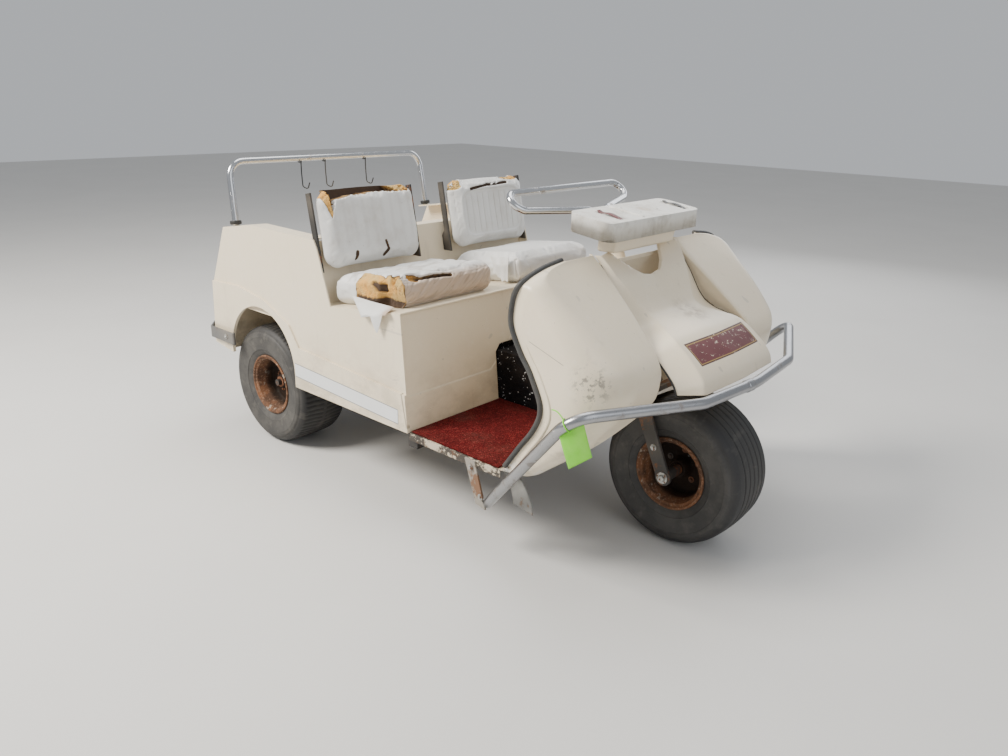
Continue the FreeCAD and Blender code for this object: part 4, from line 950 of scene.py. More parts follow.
# Tag: a blank lime card, slightly bowed, that hangs under the bumper tube on lime string. The
# string is looped once round the tube and one end of it sticks up.
def card():
    finish = Finish("lime_card", {"Specular IOR Level": 0.3})
    soft = finish.cloud(30.0, 5.0, 0.7)
    shade = soft.tint((0.17, 0.62, 0.03), (0.28, 0.74, 0.06))
    faded = finish.cloud(12.0, 3.0, shift=2.0).rise(0.45, 0.7) * 0.4
    return finish.wear(faded.tint(shade, (0.42, 0.78, 0.16)), soft * 0.2 + 0.6, bump=soft,
                       depth=0.0012)


STRING = 0.0018
nearest = np.argmin(np.linalg.norm(bumper_path - at(-612.0, 6.0, 545.0), axis=1))
tie_at = bumper_path[nearest]
down, over = grid(22, 16, 0)
# the card's corners: rear top, front top, rear bottom, front bottom
TAG = np.array([(-622, 26, 526), (-594, -34, 548), (-612, -8, 426), (-584, -56, 464)], float)
flat = ((1 - down)[..., None] * ((1 - over)[..., None] * TAG[0] + over[..., None] * TAG[1])
        + down[..., None] * ((1 - over)[..., None] * TAG[2] + over[..., None] * TAG[3]))
bow = 3.0 * np.sin(down * 3.0 + over * 1.4) - 2.5 * (2 * over - 1) ** 2
flat = flat + bow[..., None] * np.array([-0.83, -0.45, 0.3])
tag_points = at(flat[..., 0], flat[..., 1], flat[..., 2])
lime = card()
skin("blank_tag", tag_points, tag_points.mean(axis=(0, 1)) + np.array([0.1, 0.05, 0]), lime,
     0.0006)
tie_along = bumper_path[nearest + 1] - tie_at
tie_along /= np.linalg.norm(tie_along)
tie_side = np.cross(tie_along, (0.0, 0.0, 1.0))
tie_side /= np.linalg.norm(tie_side)
tie_up = np.cross(tie_side, tie_along)
loop_turn = np.linspace(0, 2 * math.pi, 36)[:, None]
string = tie_at + 0.0171 * (np.cos(loop_turn) * tie_side + np.sin(loop_turn) * tie_up)
tail = tie_at + tie_up * 0.0180 + np.linspace(0, 1, 12)[:, None] * np.array([0.006, 0.040, 0.012])
tail[:, 2] += 0.006 * np.sin(np.linspace(0, math.pi, 12))
share = np.linspace(0, 1, 10)[:, None]
drop = (tie_at - tie_up * 0.0176) * (1 - share) + (tag_points[1, 5] + [-0.002, 0, 0]) * share
for name, path in (("tag_tie", string), ("tag_tie_tail", tail), ("tag_tie_drop", drop)):
    bar(name, path, STRING, lime, "chassis", 8)

# Bag rail: a bent chrome tube over the bag well, held upright in rubber grommets on the walls'
# lips. Three black wire hooks hang from it for the bags' straps.
RAIL = [(-478, 1674, 810), (-467, 1710, 1038)]
rail_path = rounded(mirrored_path(RAIL), 0.062, 15, 14)
rail = bar("bag_rail_tube", rail_path, 0.0125, chrome, "chassis", 24)
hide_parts("bag_rail")
black_rubber = rubber("black_rubber", 0.014)
for tag in ("right", "left"):
    eased("rail_grommet_" + tag, 0.005, black_rubber, steps=4)
wire = old_paint("black_wire", (0.015, 0.015, 0.015), rusting=0.60, gloss=0.45)
for number, across in enumerate((-160.0, -45.0, 160.0)):
    swing = np.linspace(-2.6, 1.2, 18)
    clip = at(across, 1710 + 15.5 * np.cos(swing), 1034.5 + 12.5 * np.sin(swing))[::-1]
    hang = at([across - 1, across - 4, across - 8, across + 3, across + 8],
              [1698.0, 1694.0, 1684.0, 1666.0, 1660.0], [1020.0, 985.0, 931.0, 922.0, 948.0])
    hook = rounded(np.concatenate([clip[-1:], hang]), [0.01, 0.02, 0.012, 0.008], 7, 5)
    bar("bag_hook_%d" % number, np.concatenate([clip[:-1], hook]), 0.0023, wire, "chassis",
        10)

# Rear bumper: a grey steel strap round the back corners. Its front ends are rolled back into
# eyes, and bolts hold it to two stand-offs and to the body's sides.
grey_strap = old_paint("grey_strap_paint", (0.125, 0.13, 0.135), rusting=0.57, gloss=0.42)
eased("rear_bumper", 0.0018, grey_strap)
bumper_bolts = at([-545.0, 545.0, -310.0, 310.0], [1703.0, 1703.0, 1862.3, 1862.3],
                  [388.0, 388.0, 387.0, 387.0])
for sign, tag in SIDES:
    dress("bumper_bracket_" + tag, grey_strap)
    eye = at(541.0 * sign, 1657.0, np.array([363.0, 364.5, 372.0, 387.0, 402.0, 409.5, 411.0]))
    bar("rear_bumper_eye_" + tag, eye, np.array([5.5, 7, 7, 7, 7, 7, 5.5]) / 1000, grey_strap,
        "chassis", 18)
hex_bolts("rear_bumper_bolts", bumper_bolts, [(-1, 0, 0), (1, 0, 0), (0, 1, 0), (0, 1, 0)],
          0.011, bolt_zinc, "chassis")

# Pedals: steel plates with ribbed rubber faces on short arms, on the left side of the floor.
def pedal_rubber():
    finish = Finish("pedal_rubber")
    grain = finish.cloud(200.0, 3.0)
    ribs = finish.y.calc("SINE", (finish.y + finish.z * 0.78) * 720.0)
    dust = finish.cloud(20.0, 4.0, shift=3.0).rise(0.4, 0.7)
    shade = (dust * 0.5).tint(grain.tint((0.012,) * 3, (0.03,) * 3), (0.16, 0.14, 0.12))
    return finish.wear(shade, dust * 0.2 + 0.6, bump=ribs.rise(-0.3, 0.3) + grain * 0.2,
                       depth=0.002)


ribbed = pedal_rubber()
for node in ("brake_pedal", "throttle_pedal"):
    eased(node, 0.0035, ribbed, steps=3)

# Seats: foam blocks in white vinyl covers. The right pair is badly torn: brown foam shows along
# its back's top and in a crater at its cushion's outer corner. The left back keeps its pleats.
def vinyl(name, dirt, front_dirt=0.0):
    finish = Finish(name, {"Sheen Weight": 0.06, "Specular IOR Level": 0.45})
    torn = finish.attribute("torn")
    crease = finish.attribute("crease")
    backing = finish.attribute("backing")
    grain = finish.grains(760.0)
    crumb = finish.grains(300.0)
    broad = finish.cloud(4.0, 3.0)
    fine = finish.cloud(46.0, 5.0, 0.7, shift=4.0)
    white = broad.tint((0.66, 0.655, 0.635), (0.73, 0.73, 0.715))
    handled = finish.cloud(9.0, 5.0, 0.65, shift=14.0).rise(0.46, 0.74) * dirt
    grime_and_crease_shade = handled.tint(white, (0.42, 0.37, 0.31))
    low = finish.y.rise(FRONT_AXLE[1] + 0.798, FRONT_AXLE[1] + 0.760) * finish.z.rise(0.766, 0.742)
    grime_and_crease_shade = (low * front_dirt).tint(grime_and_crease_shade, (0.50, 0.37, 0.27))
    # painted shade: the crease attribute darkens fold, wrinkle and pleat valleys
    grime_and_crease_shade = (crease * 0.55).tint(grime_and_crease_shade, (0.22, 0.17, 0.13))
    pocks = finish.grains(34.0).rise(0.055, 0.02) * broad.rise(0.50, 0.58)
    grime_and_crease_shade = (pocks * 0.8).tint(grime_and_crease_shade, (0.09, 0.06, 0.045))
    faded = finish.cloud(13.0, 4.0, 0.6, shift=19.0).rise(0.36, 0.66)
    foam = faded.tint((0.72, 0.36, 0.07), (0.60, 0.41, 0.15))
    foam = (fine.rise(0.48, 0.70) * 0.7).tint(foam, (0.34, 0.16, 0.045))
    burns = finish.cloud(17.0, 5.0, 0.7, shift=9.0).rise(0.60, 0.68)
    foam = burns.tint(foam, (0.050, 0.026, 0.014))
    # painted shade: very dark brown for hollows, holes, slits and crater walls where backing is set
    shaded_hollow = fine.tint((0.030, 0.018, 0.012), (0.085, 0.050, 0.030))
    foam = backing.tint(foam, shaded_hollow)
    reach = torn + fine * 0.35 - 0.17
    edge = reach.rise(0.30, 0.42)
    # painted shade: a dark ring on the foam just under the torn cover's edge
    rim = edge - reach.rise(0.44, 0.56)
    shade = edge.tint(grime_and_crease_shade, foam)
    shade = (rim * 0.75).tint(shade, (0.050, 0.030, 0.018))
    rough = (1.0 - edge) * (fine * 0.10 + handled * 0.2 + 0.34) + edge * 0.95
    height = edge * (1.0 - backing) * (crumb * -1.6 + fine * 1.8 - 0.6) \
        + (1.0 - edge) * (grain * 0.14 - fine * 0.12 - handled * 0.15)
    return finish.wear(shade, rough, bump=height, depth=0.0016)


def waves(points, pitch, count=14, seed=3):
    """Smooth noise of about -1 to 1: waves in random directions, added with random phases."""
    chance = np.random.default_rng(seed)
    way = chance.normal(size=(count, 3))
    way *= 2 * math.pi / pitch / np.linalg.norm(way, axis=1, keepdims=True)
    way *= chance.uniform(0.6, 1.6, (count, 1))
    phase = chance.uniform(0, 2 * math.pi, count)
    return np.sin(points @ way.T + phase).sum(axis=1) / math.sqrt(count)


def mesh_points(mesh, what="co"):
    found = np.empty(len(mesh.vertices) * 3)
    mesh.vertices.foreach_get(what, found)
    return found.reshape(-1, 3)


VOXEL = 0.006
LAST_FRAME = 20


def stuffed(name, node, axes, start_in, cap, bends, material, floor_height=None):
    """A foam block in its cover, blown up from a smaller rounded block by the cloth solver.

    axes are the block's own three directions. What lies past an inner block, smaller by the
    bends, is divided by the bends and by its own length, which rounds the edges and corners.
    The piece comes back with its points and their outward directions.
    """
    mesh = nodes[node].data.copy()
    cleaned(mesh, 2e-5)
    piece = bpy.data.objects.new(name, mesh)
    bpy.context.scene.collection.objects.link(piece)
    remesh = piece.modifiers.new("voxels", "REMESH")
    remesh.mode = "VOXEL"
    remesh.voxel_size = VOXEL
    mesh = settled(piece)
    points = mesh_points(mesh)
    local = points @ axes.T
    middle = (local.min(axis=0) + local.max(axis=0)) / 2
    local = local - middle
    half = np.abs(local).max(axis=0)
    share = local / half
    start_in = np.array(start_in)
    bend = np.array(bends)
    inner = half - start_in - bend
    past = np.clip(np.abs(local) * (1 - start_in / half) - inner, 0, None) / bend
    drawn = past * past.max(axis=1, keepdims=True) \
        / np.maximum(np.linalg.norm(past, axis=1, keepdims=True), 1e-9)
    local = np.sign(local) * (np.minimum(np.abs(local), inner) + drawn * bend)
    start = (local + middle) @ axes
    mesh.vertices.foreach_set("co", start.ravel())
    mesh.update()
    cloth = piece.modifiers.new("cloth", "CLOTH")
    cloth.settings.use_pressure = True
    cloth.settings.uniform_pressure_force = 4.0
    cloth.settings.effector_weights.gravity = 0.0
    cloth.settings.quality = 4
    cloth.point_cache.frame_start = 1
    cloth.point_cache.frame_end = LAST_FRAME
    for frame_number in range(1, LAST_FRAME + 1):
        bpy.context.scene.frame_set(frame_number)
    blown = piece.evaluated_get(bpy.context.evaluated_depsgraph_get()).to_mesh()
    moved = mesh_points(blown) - start
    piece.modifiers.clear()
    bpy.context.scene.frame_set(1)
    length = np.linalg.norm(moved, axis=1, keepdims=True)
    moved *= np.minimum(1.0, cap / np.maximum(length, 1e-9))
    end = start + moved
    if floor_height is not None:
        end[:, 2] = np.maximum(end[:, 2], floor_height(end[:, 1]))
    mesh.vertices.foreach_set("co", end.ravel())
    mesh.update()
    finer = piece.modifiers.new("finer", "SUBSURF")
    finer.levels = finer.render_levels = 1
    mesh = settled(piece)
    mesh.shade_smooth()
    mesh.materials.clear()
    mesh.materials.append(material)
    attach(piece, "chassis")
    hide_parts(node)
    return piece, mesh_points(mesh), mesh_points(mesh, "normal")


def finish_cover(piece, points, **amounts):
    """Place a cover's points and store how torn each is, and how much painted shade its creases and
    hollows get.
    """
    mesh = piece.data
    mesh.vertices.foreach_set("co", points.ravel())
    for name in ("torn", "crease", "backing"):
        layer = mesh.attributes.new(name, "FLOAT", "POINT")
        layer.data.foreach_set("value", np.clip(amounts.get(name, np.zeros(len(points))), 0, 1))
    mesh.update()
    mesh.shade_smooth()


DECK_RUN = 398.0
deck_angle = math.atan2(48.0, DECK_RUN)
CUSHION_AXES = np.array([(1, 0, 0), (0, math.cos(deck_angle), -math.sin(deck_angle)),
                         (0, math.sin(deck_angle), math.cos(deck_angle))])
BACK_AXES = np.array([(1, 0, 0), (0, 56 / 270.9, 265 / 270.9), (0, -265 / 270.9, 56 / 270.9)])


def deck_height(along):
    """The deck's sloping top under a point, in metres."""
    back = (along - FRONT_AXLE[1]) * 1000 - 722
    return (663 - back * 48 / DECK_RUN + 0.4) / 1000


def long_dash(points, start, end, width):
    """1 on the straight line between two places, falling to 0 at its width from it."""
    start, end = np.asarray(start), np.asarray(end)
    run = end - start
    share = np.clip(((points - start) @ run) / (run @ run), 0, 1)
    away = np.linalg.norm(points - start - share[:, None] * run, axis=1)
    return 1 - smooth(away, width * 0.4, width)


right_vinyl = vinyl("right_vinyl", 0.42, 0.9)
left_vinyl = vinyl("left_vinyl", 0.28, 0.2)

# right cushion: flat slack top, its outer end torn away down to sunken foam, and a slit behind
# its front edge that runs on from there
cushion, points, normal = stuffed("cushion_right", "seat_cushion_right", CUSHION_AXES, 0.007,
                                  0.011, (0.030, 0.034, 0.026), right_vinyl, deck_height)
place = (points - at(0, 0, 0)) * 1000
ragged = waves(points, 0.060) * 0.5 + waves(points, 0.018, seed=5) * 0.3
reach_in = place[:, 0] + 462 + 8 * ragged - 14 * smooth(place[:, 1], 800, 950)
crater = (1 - smooth(place[:, 1] + 9 * ragged, 952, 966)) * (1 - smooth(reach_in, -6, 6))
front_part = 1 - smooth(place[:, 1], 838, 866)
sunk = 22 + 24 * front_part + 3 * ragged + 9 * front_part * np.sin(place[:, 2] * 0.05)
place[:, 0] += crater * np.maximum(-505 + sunk - place[:, 0], 0)
place[:, 1] += crater * np.maximum(756 + 4 * ragged - place[:, 1], 0)
above = points * (1, 1, 0)
slit = np.maximum(long_dash(above, at(-478, 806, 0), at(-400, 776, 0), 0.016),
                  long_dash(above, at(-400, 776, 0), at(-250, 768, 0), 0.008))
slit = slit * smooth(ragged, -1.1, -0.6) * smooth(place[:, 2], 700, 725)
hole = long_dash(points, at(-500, 884, 734), at(-500, 852, 720), 0.034)
hole = smooth(hole + 0.25 * ragged, 0.4, 0.55) * crater
# painted shade on the crater's walls
crater_wall_shade = (4 * crater * (1 - crater)) ** 2 * front_part
low_edge = crater * (1 - smooth(place[:, 2] - 5 * ragged, 676, 684))
slack = np.abs(waves(points * (0.45, 1.5, 0.6), 0.13, 9, 11)) ** 0.8
slanted = points @ np.array([(1, 0, 0.9), (0, 1, 0), (-0.9, 0, 1)]).T
drape = np.abs(waves(slanted * (0.3, 0.3, 1.6), 0.09, 7, 13)) ** 0.8
top = smooth(normal[:, 2], 0.3, 0.8)
front = smooth(-normal[:, 1], 0.5, 0.9)
torn = np.maximum(crater, slit)
shift = -0.016 * slit - 0.010 * hole + (1 - torn) * (
    -0.0045 * (1 - slack) * top + 0.0015 * ragged * top - 0.0042 * (1 - drape) * front)
points = at(place[:, 0], place[:, 1], place[:, 2]) + normal * shift[:, None]
dark_slit = 2 * slit * smooth(points[:, 0], -0.42, -0.36)
# fold valleys of the slack top and of the front, which get painted shade
creased = (1 - smooth(slack, 0.05, 0.30)) * top + (1 - smooth(drape, 0.04, 0.22)) * front
# painted shade: the hole, the crater's walls and low edge and the slit's inner part are darkened
finish_cover(cushion, points, torn=torn, crease=creased * (1 - torn) * 0.7,
             backing=np.maximum.reduce([hole, low_edge, crater_wall_shade, dark_slit]))

# left cushion: plump, with one tear at its inner front corner
cushion, points, normal = stuffed("cushion_left", "seat_cushion_left", CUSHION_AXES, 0.007,
                                  0.014, (0.032, 0.036, 0.030), left_vinyl, deck_height)
ragged = waves(points, 0.05, seed=7) * 0.5 + waves(points, 0.016, seed=8) * 0.3
torn = long_dash(points, at(50, 752, 690), at(54, 750, 664), 0.022) * smooth(ragged, -1.0, -0.4)
folds = np.abs(waves(points * (0.5, 1.0, 0.6), 0.16, 9, 12)) ** 0.7
shift = -0.014 * torn - 0.0018 * (1 - folds) * (1 - torn)
# painted shadow: the tear at the inner front corner is coloured dark
finish_cover(cushion, points + normal * shift[:, None], torn=torn, backing=torn,
             crease=(1 - smooth(folds, 0.03, 0.22)) * 0.3)


def back_places(points):
    """Distance across from the middle, up a back's face and out from it, in millimetres."""
    foot = at(0, 1062, 735)
    return (np.abs(points[:, 0]) * 1000, (points - foot) @ BACK_AXES[1] * 1000,
            (points - foot) @ BACK_AXES[2] * 1000)


def face_dashes(across, up_face, dashes):
    """The strongest of some dashes on a back's face, each given by its two ends and width."""
    on_face = np.stack([across, up_face], axis=1)
    return np.maximum.reduce([long_dash(on_face, *dash) for dash in dashes])


# right back: the foam is gone behind the cover's torn top edge, down to a sunk hollow whose dark
# brown is painted shade; a rib of foam is left at the outer side and ragged lumps at the inner one
BACK_BENDS = (0.054, 0.058, 0.030)
BACK_START = (-0.003, 0.002, 0.003)
back, points, normal = stuffed("back_right", "seat_back_right", BACK_AXES, BACK_START, 0.009,
                               BACK_BENDS, right_vinyl)
across, up_face, proud = back_places(points)
rear = proud.min()
ragged = waves(points, 0.05, seed=15) * 0.5 + waves(points, 0.014, seed=16) * 0.35
edge_height = np.interp(across, (84, 104, 125, 157, 189, 287, 413, 447, 456, 467, 478, 487, 505),
                        (264, 246, 236, 236, 238, 240, 232, 226, 200, 172, 204, 236, 243))
bare = smooth(up_face - edge_height - 3.5 * ragged, -3, 3)
shaded_hollow = bare * smooth(across - 168 - (up_face - 236) * 1.7 + 6 * ragged, -4, 4) \
    * (1 - smooth(across + 3 * ragged, 458, 466))
lumps = bare * (1 - smooth(across, 205, 230))
sunk = np.where(shaded_hollow > 0.5, np.minimum(rear + 10 - proud, 0), 0)
out = sunk * shaded_hollow + np.minimum(-14 + 13 * ragged - proud, 0) * lumps * (1 - shaded_hollow)
holes = face_dashes(across, up_face, (
    ((391, 50), (393, 30), 9), ((264, 74), (256, 44), 7), ((256, 44), (270, 30), 10),
    ((92, 84), (100, 60), 12))) * (normal @ BACK_AXES[2] > 0.1)
torn = np.maximum(bare, holes)
flutes = np.cos(across / 40.0 * 2 * math.pi) * smooth(up_face, 50, 110) * (1 - bare)
shift = -0.004 * bare * (1 - shaded_hollow) - 0.005 * holes + 0.0007 * flutes \
    + 0.0010 * waves(points, 0.14, seed=18) * (1 - bare)
arch = np.clip(1 - ((across - 300) / 195) ** 2, 0, 1) * smooth(up_face, 225, 262)
points = points + normal * shift[:, None] + BACK_AXES[2] * out[:, None] / 1000 \
    + BACK_AXES[1] * arch[:, None] * 0.007
# painted shade: the sunk hollow and the holes are coloured dark
finish_cover(back, points, torn=torn, backing=np.maximum(shaded_hollow, holes * 4),
             crease=np.clip(-flutes, 0, 1) * 0.16)

# left back: an inset panel of nine pleats with rounded corners, foam at both top corners and a
# dark slit along the top seam
PLEAT = 31.0
PANEL_MIDDLE, PANEL_HALF, PANEL_BEND = (293.0, 128.0), (158.0, 86.0), 44.0
back, points, normal = stuffed("back_left", "seat_back_left", BACK_AXES, BACK_START, 0.010,
                               BACK_BENDS, left_vinyl)
across, up_face, proud = back_places(points)
ragged = waves(points, 0.045, seed=21) * 0.5 + waves(points, 0.013, seed=22) * 0.35
front = smooth(normal @ BACK_AXES[2], 0.55, 0.9)
past_side = np.abs(across - PANEL_MIDDLE[0]) - PANEL_HALF[0] + PANEL_BEND
past_end = np.abs(up_face - PANEL_MIDDLE[1]) - PANEL_HALF[1] + PANEL_BEND
outside = np.hypot(np.maximum(past_side, 0), np.maximum(past_end, 0)) - PANEL_BEND
panel = (1 - smooth(outside, -10, 3)) * front
pleat = np.abs(np.cos((across - PANEL_MIDDLE[0]) / PLEAT * math.pi)) ** 0.55
depth = smooth(outside, -4, -26)
corner = np.maximum(1 - smooth(np.hypot((across - 108) / 1.1, up_face - 260), 34, 42),
                    1 - smooth(np.hypot((across - 432) / 2.6, up_face - 270), 24, 31))
corner = corner * smooth(ragged, -1.0, -0.4)
slit = face_dashes(across, up_face, (((184, 219), (284, 231), 7), ((284, 231), (390, 235), 9)))
slit = slit * front
torn = np.maximum(corner, slit)
rim = (1 - smooth(np.abs(outside - 7), 2, 9)) * front
shift = -0.006 * corner + 0.003 * corner * ragged - 0.010 * slit - 0.0060 * panel \
    + 0.0050 * (pleat - 0.5) * panel * depth + 0.0015 * rim + 0.0008 * waves(points, 0.12, seed=24)
# painted shade: the slit is coloured dark
finish_cover(back, points + normal * shift[:, None], torn=torn, backing=slit * 4,
             # painted shade in the pleats' valleys and round the panel's outline
             crease=np.maximum(panel * depth * (1 - smooth(pleat, 0.10, 0.50)) * 0.9,
                               (1 - smooth(np.abs(outside), 0, 5)) * front * 0.35))


def torn_flap(name, top, fold, hang, material):
    """A torn piece of cover: straight from its top edge to a fold, then down by hang's depths.

    top and fold are pairs of end places in millimetres; hang gives the depth along the edge.
    """
    down, over = grid(34, 40, 0)
    top, fold = np.array(top, float), np.array(fold, float)
    first = top[0] + (top[1] - top[0]) * over[..., None]
    second = fold[0] + (fold[1] - fold[0]) * over[..., None]
    upper = smooth(down, 0.0, 0.62)[..., None]
    spread = first + (second - first) * upper
    spread[..., 2] -= smooth(down, 0.50, 1.0) * hang(over)
    spread[..., 2] += 2.2 * np.sin(down * 3.14) * np.sin(over * 9.0)
    spread[..., 0] += np.sign(fold[0][0]) * (1.8 * np.sin(over * 13.0 + down * 2.0) * down)
    points = at(spread[..., 0], spread[..., 1], spread[..., 2])
    flap = new_piece(name, points, grid_faces(34, 40), material, "chassis")
    walled(flap, 0.0014)
    sides = np.diff(points, axis=0)[:, :-1], np.diff(points, axis=1)[:-1]
    area = float(np.linalg.norm(np.cross(*sides), axis=-1).sum())
    return flap, area


# loose flap of the right cushion's cover, which hangs out over the body's edge to a point
flap, area = torn_flap("cushion_flap_right", ((-500, 966, 671), (-492, 772, 667)),
                       ((-538, 876, 630), (-536, 756, 659)),
                       lambda over: 4 + 56 * np.clip(1 - np.abs(over - 0.60) / 0.24, 0, 1),
                       right_vinyl)
flap, area = torn_flap("cushion_flap_left", ((50, 872, 741), (52, 786, 752)),
                       ((42, 852, 716), (41, 780, 722)),
                       lambda over: 30 + 24 * smooth(over, 0.1, 0.7) + 3 * np.sin(over * 21.0),
                       left_vinyl)

# steel strips that hold each back, black paint chipped to metal along their edges
strip_paint = old_paint("strip_paint", (0.022, 0.021, 0.020), rusting=0.54)
for tag in ("right_outer", "right_inner", "left_outer", "left_inner"):
    eased("seat_strip_" + tag, 0.0012, strip_paint)

# Tyres: wide low-pressure turf tyres, black but grey with dust. The front one has five grooves
# round its tread, and the rear ones have fine bars across it and a stepped shoulder.
def tyre_rubber(name, axle, dust_share):
    finish = Finish(name)
    radius = finish.off_axle(axle)
    fine = finish.cloud(150.0, 4.0, 0.7)
    blotch = finish.cloud(9.0, 6.0, 0.7, shift=3.0)
    dusty = (blotch.rise(0.36, 0.66) * 0.6 + 0.3) * radius.rise(0.222, 0.195) * dust_share
    streak = finish.cloud(26.0, 3.0, 0.6, (0.5, 1.0, 1.0), 6.0).rise(0.56, 0.70)
    shade = fine.tint((0.012, 0.012, 0.013), (0.028, 0.027, 0.027))
    shade = dusty.tint(shade, (0.155, 0.145, 0.130))
    shade = (streak * 0.35 * dust_share).tint(shade, (0.21, 0.19, 0.16))
    tread = radius.rise(0.2235, 0.2275)
    shade = (tread * 0.30 * dust_share).tint(shade, (0.13, 0.12, 0.105))
    line = radius.between(0.1385, 0.1400, 0.0008) + radius.between(0.186, 0.1875, 0.0008)
    return finish.wear(shade, dusty * 0.2 + 0.62, bump=fine * 0.5 + line * 1.5, depth=0.0007)


def lathe(name, across, radius, axle, material, body, steps, profile_shift=None):
    """A profile turned about the wheel's axle; profile_shift may sink points by the turn."""
    turn = np.linspace(0, 2 * math.pi, steps, endpoint=False)[:, None]
    reach = np.broadcast_to(radius, (steps, len(radius)))
    if profile_shift is not None:
        reach = reach - profile_shift(turn, across, radius)
    points = np.stack(np.broadcast_arrays(axle[0] + across, axle[1] + reach * np.cos(turn),
                                          axle[2] + reach * np.sin(turn)), axis=-1)
    faces = grid_faces(steps, len(radius), round_rows=True, round_columns=True)
    piece = new_piece(name, points, faces, material, body)
    cleaned(piece.data, 1e-6)
    piece.data.shade_smooth()
    return piece


TREAD_HALF = 78.0
SIDEWALL = [(86, 101.6), (88, 109), (88.5, 116.5), (93, 122), (97.5, 131), (99.5, 137),
            (101.5, 139), (101.5, 141), (102, 150), (104.5, 165), (106, 180), (106.6, 184),
            (107, 186), (106.4, 189), (105.6, 197), (102.6, 203), (100.2, 204.2), (99.6, 206.5),
            (97, 212), (91, 218.5), (85, 222.0)]


def tyre_profile(grooves, count):
    """Across and radius from one bead over the tread to the other; grooves sink the tread."""
    wall = np.array(SIDEWALL) / 1000
    across = np.linspace(TREAD_HALF, -TREAD_HALF, count)
    crown = 228.3 - 4.2 * (across / TREAD_HALF) ** 2 - grooves(across)
    tread = np.stack([across, crown], axis=1) / 1000
    return np.concatenate([wall, tread, wall[::-1] * (-1, 1)])


def round_grooves(across):
    """Five grooves, each 5.5 mm deep with sloped walls, 26 mm apart."""
    away = np.abs((across + 13.0) % 26.0 - 13.0)
    return 5.5 * (1 - smooth(away, 1.8, 3.4)) * (np.abs(across) < 66)


def rim_paint(name, axle):
    finish = Finish(name, {"Specular IOR Level": 0.2})
    radius = finish.off_axle(axle)
    broad = finish.cloud(16.0, 6.0, 0.7)
    fine = finish.cloud(110.0, 5.0, 0.75, shift=2.0)
    shade = broad.rise(0.40, 0.62).tint((0.085, 0.045, 0.028), (0.19, 0.085, 0.042))
    shade = (fine.rise(0.52, 0.62) * 0.7).tint(shade, (0.28, 0.17, 0.11))
    pale = finish.cloud(30.0, 5.0, 0.7, shift=7.0).rise(0.60, 0.66) * 0.5
    shade = pale.tint(shade, (0.45, 0.40, 0.33))
    # painted shade: the web and barrel inside the rim are darkened towards the axle, so the dish
    # reads deep
    painted_deep_shade = radius.rise(0.0955, 0.087) * 0.93
    shade = painted_deep_shade.tint(shade, (0.008, 0.0055, 0.004))
    return finish.wear(shade, fine * 0.2 + 0.66, bump=fine + broad * 0.5, depth=0.0007)


RIM_LIP = [(86.5, 101.2), (86.8, 109), (88, 113.5), (90.5, 115.8), (93, 115.2), (94.8, 112.5),
           (94.6, 108.5), (92.4, 106.4), (89.8, 105.5), (88.2, 102.5), (87.6, 98.6), (84, 96.6)]


def rim_profile(dish):
    """Across and radius of the rim: rolled lip, stepped barrel, dished web, hub and back again."""
    face = dish + math.copysign(3.5, dish if dish else 1)
    outer = [(60, 96), (52, 91), (44, 89.5), (face + 13, 88), (face + 6, 84), (face + 4, 78),
             (face + 5.5, 70), (face + 2.5, 62), (face + 1, 50), (face + 1.5, 38), (face + 5, 33),
             (face + 9, 30), (44, 27.5), (45, 26), (45, 13.2)]
    inner = [(-45, 13.2), (-45, 26), (-44, 27.5), (dish - 9, 30), (dish - 5, 38), (dish - 5, 70),
             (dish - 6, 84), (-44, 89.5), (-52, 91), (-60, 96)]
    back_lip = [(-across, radius) for across, radius in RIM_LIP[::-1]]
    return np.array(RIM_LIP + outer + inner + back_lip, float) / 1000


STUD_CIRCLE = 0.050
VALVE_CIRCLE = 0.0905
VALVE_TURN = 2.2
rusty_nut = old_paint("rusty_nut", (0.07, 0.05, 0.04), (0.12, 0.05, 0.025), 0.42)
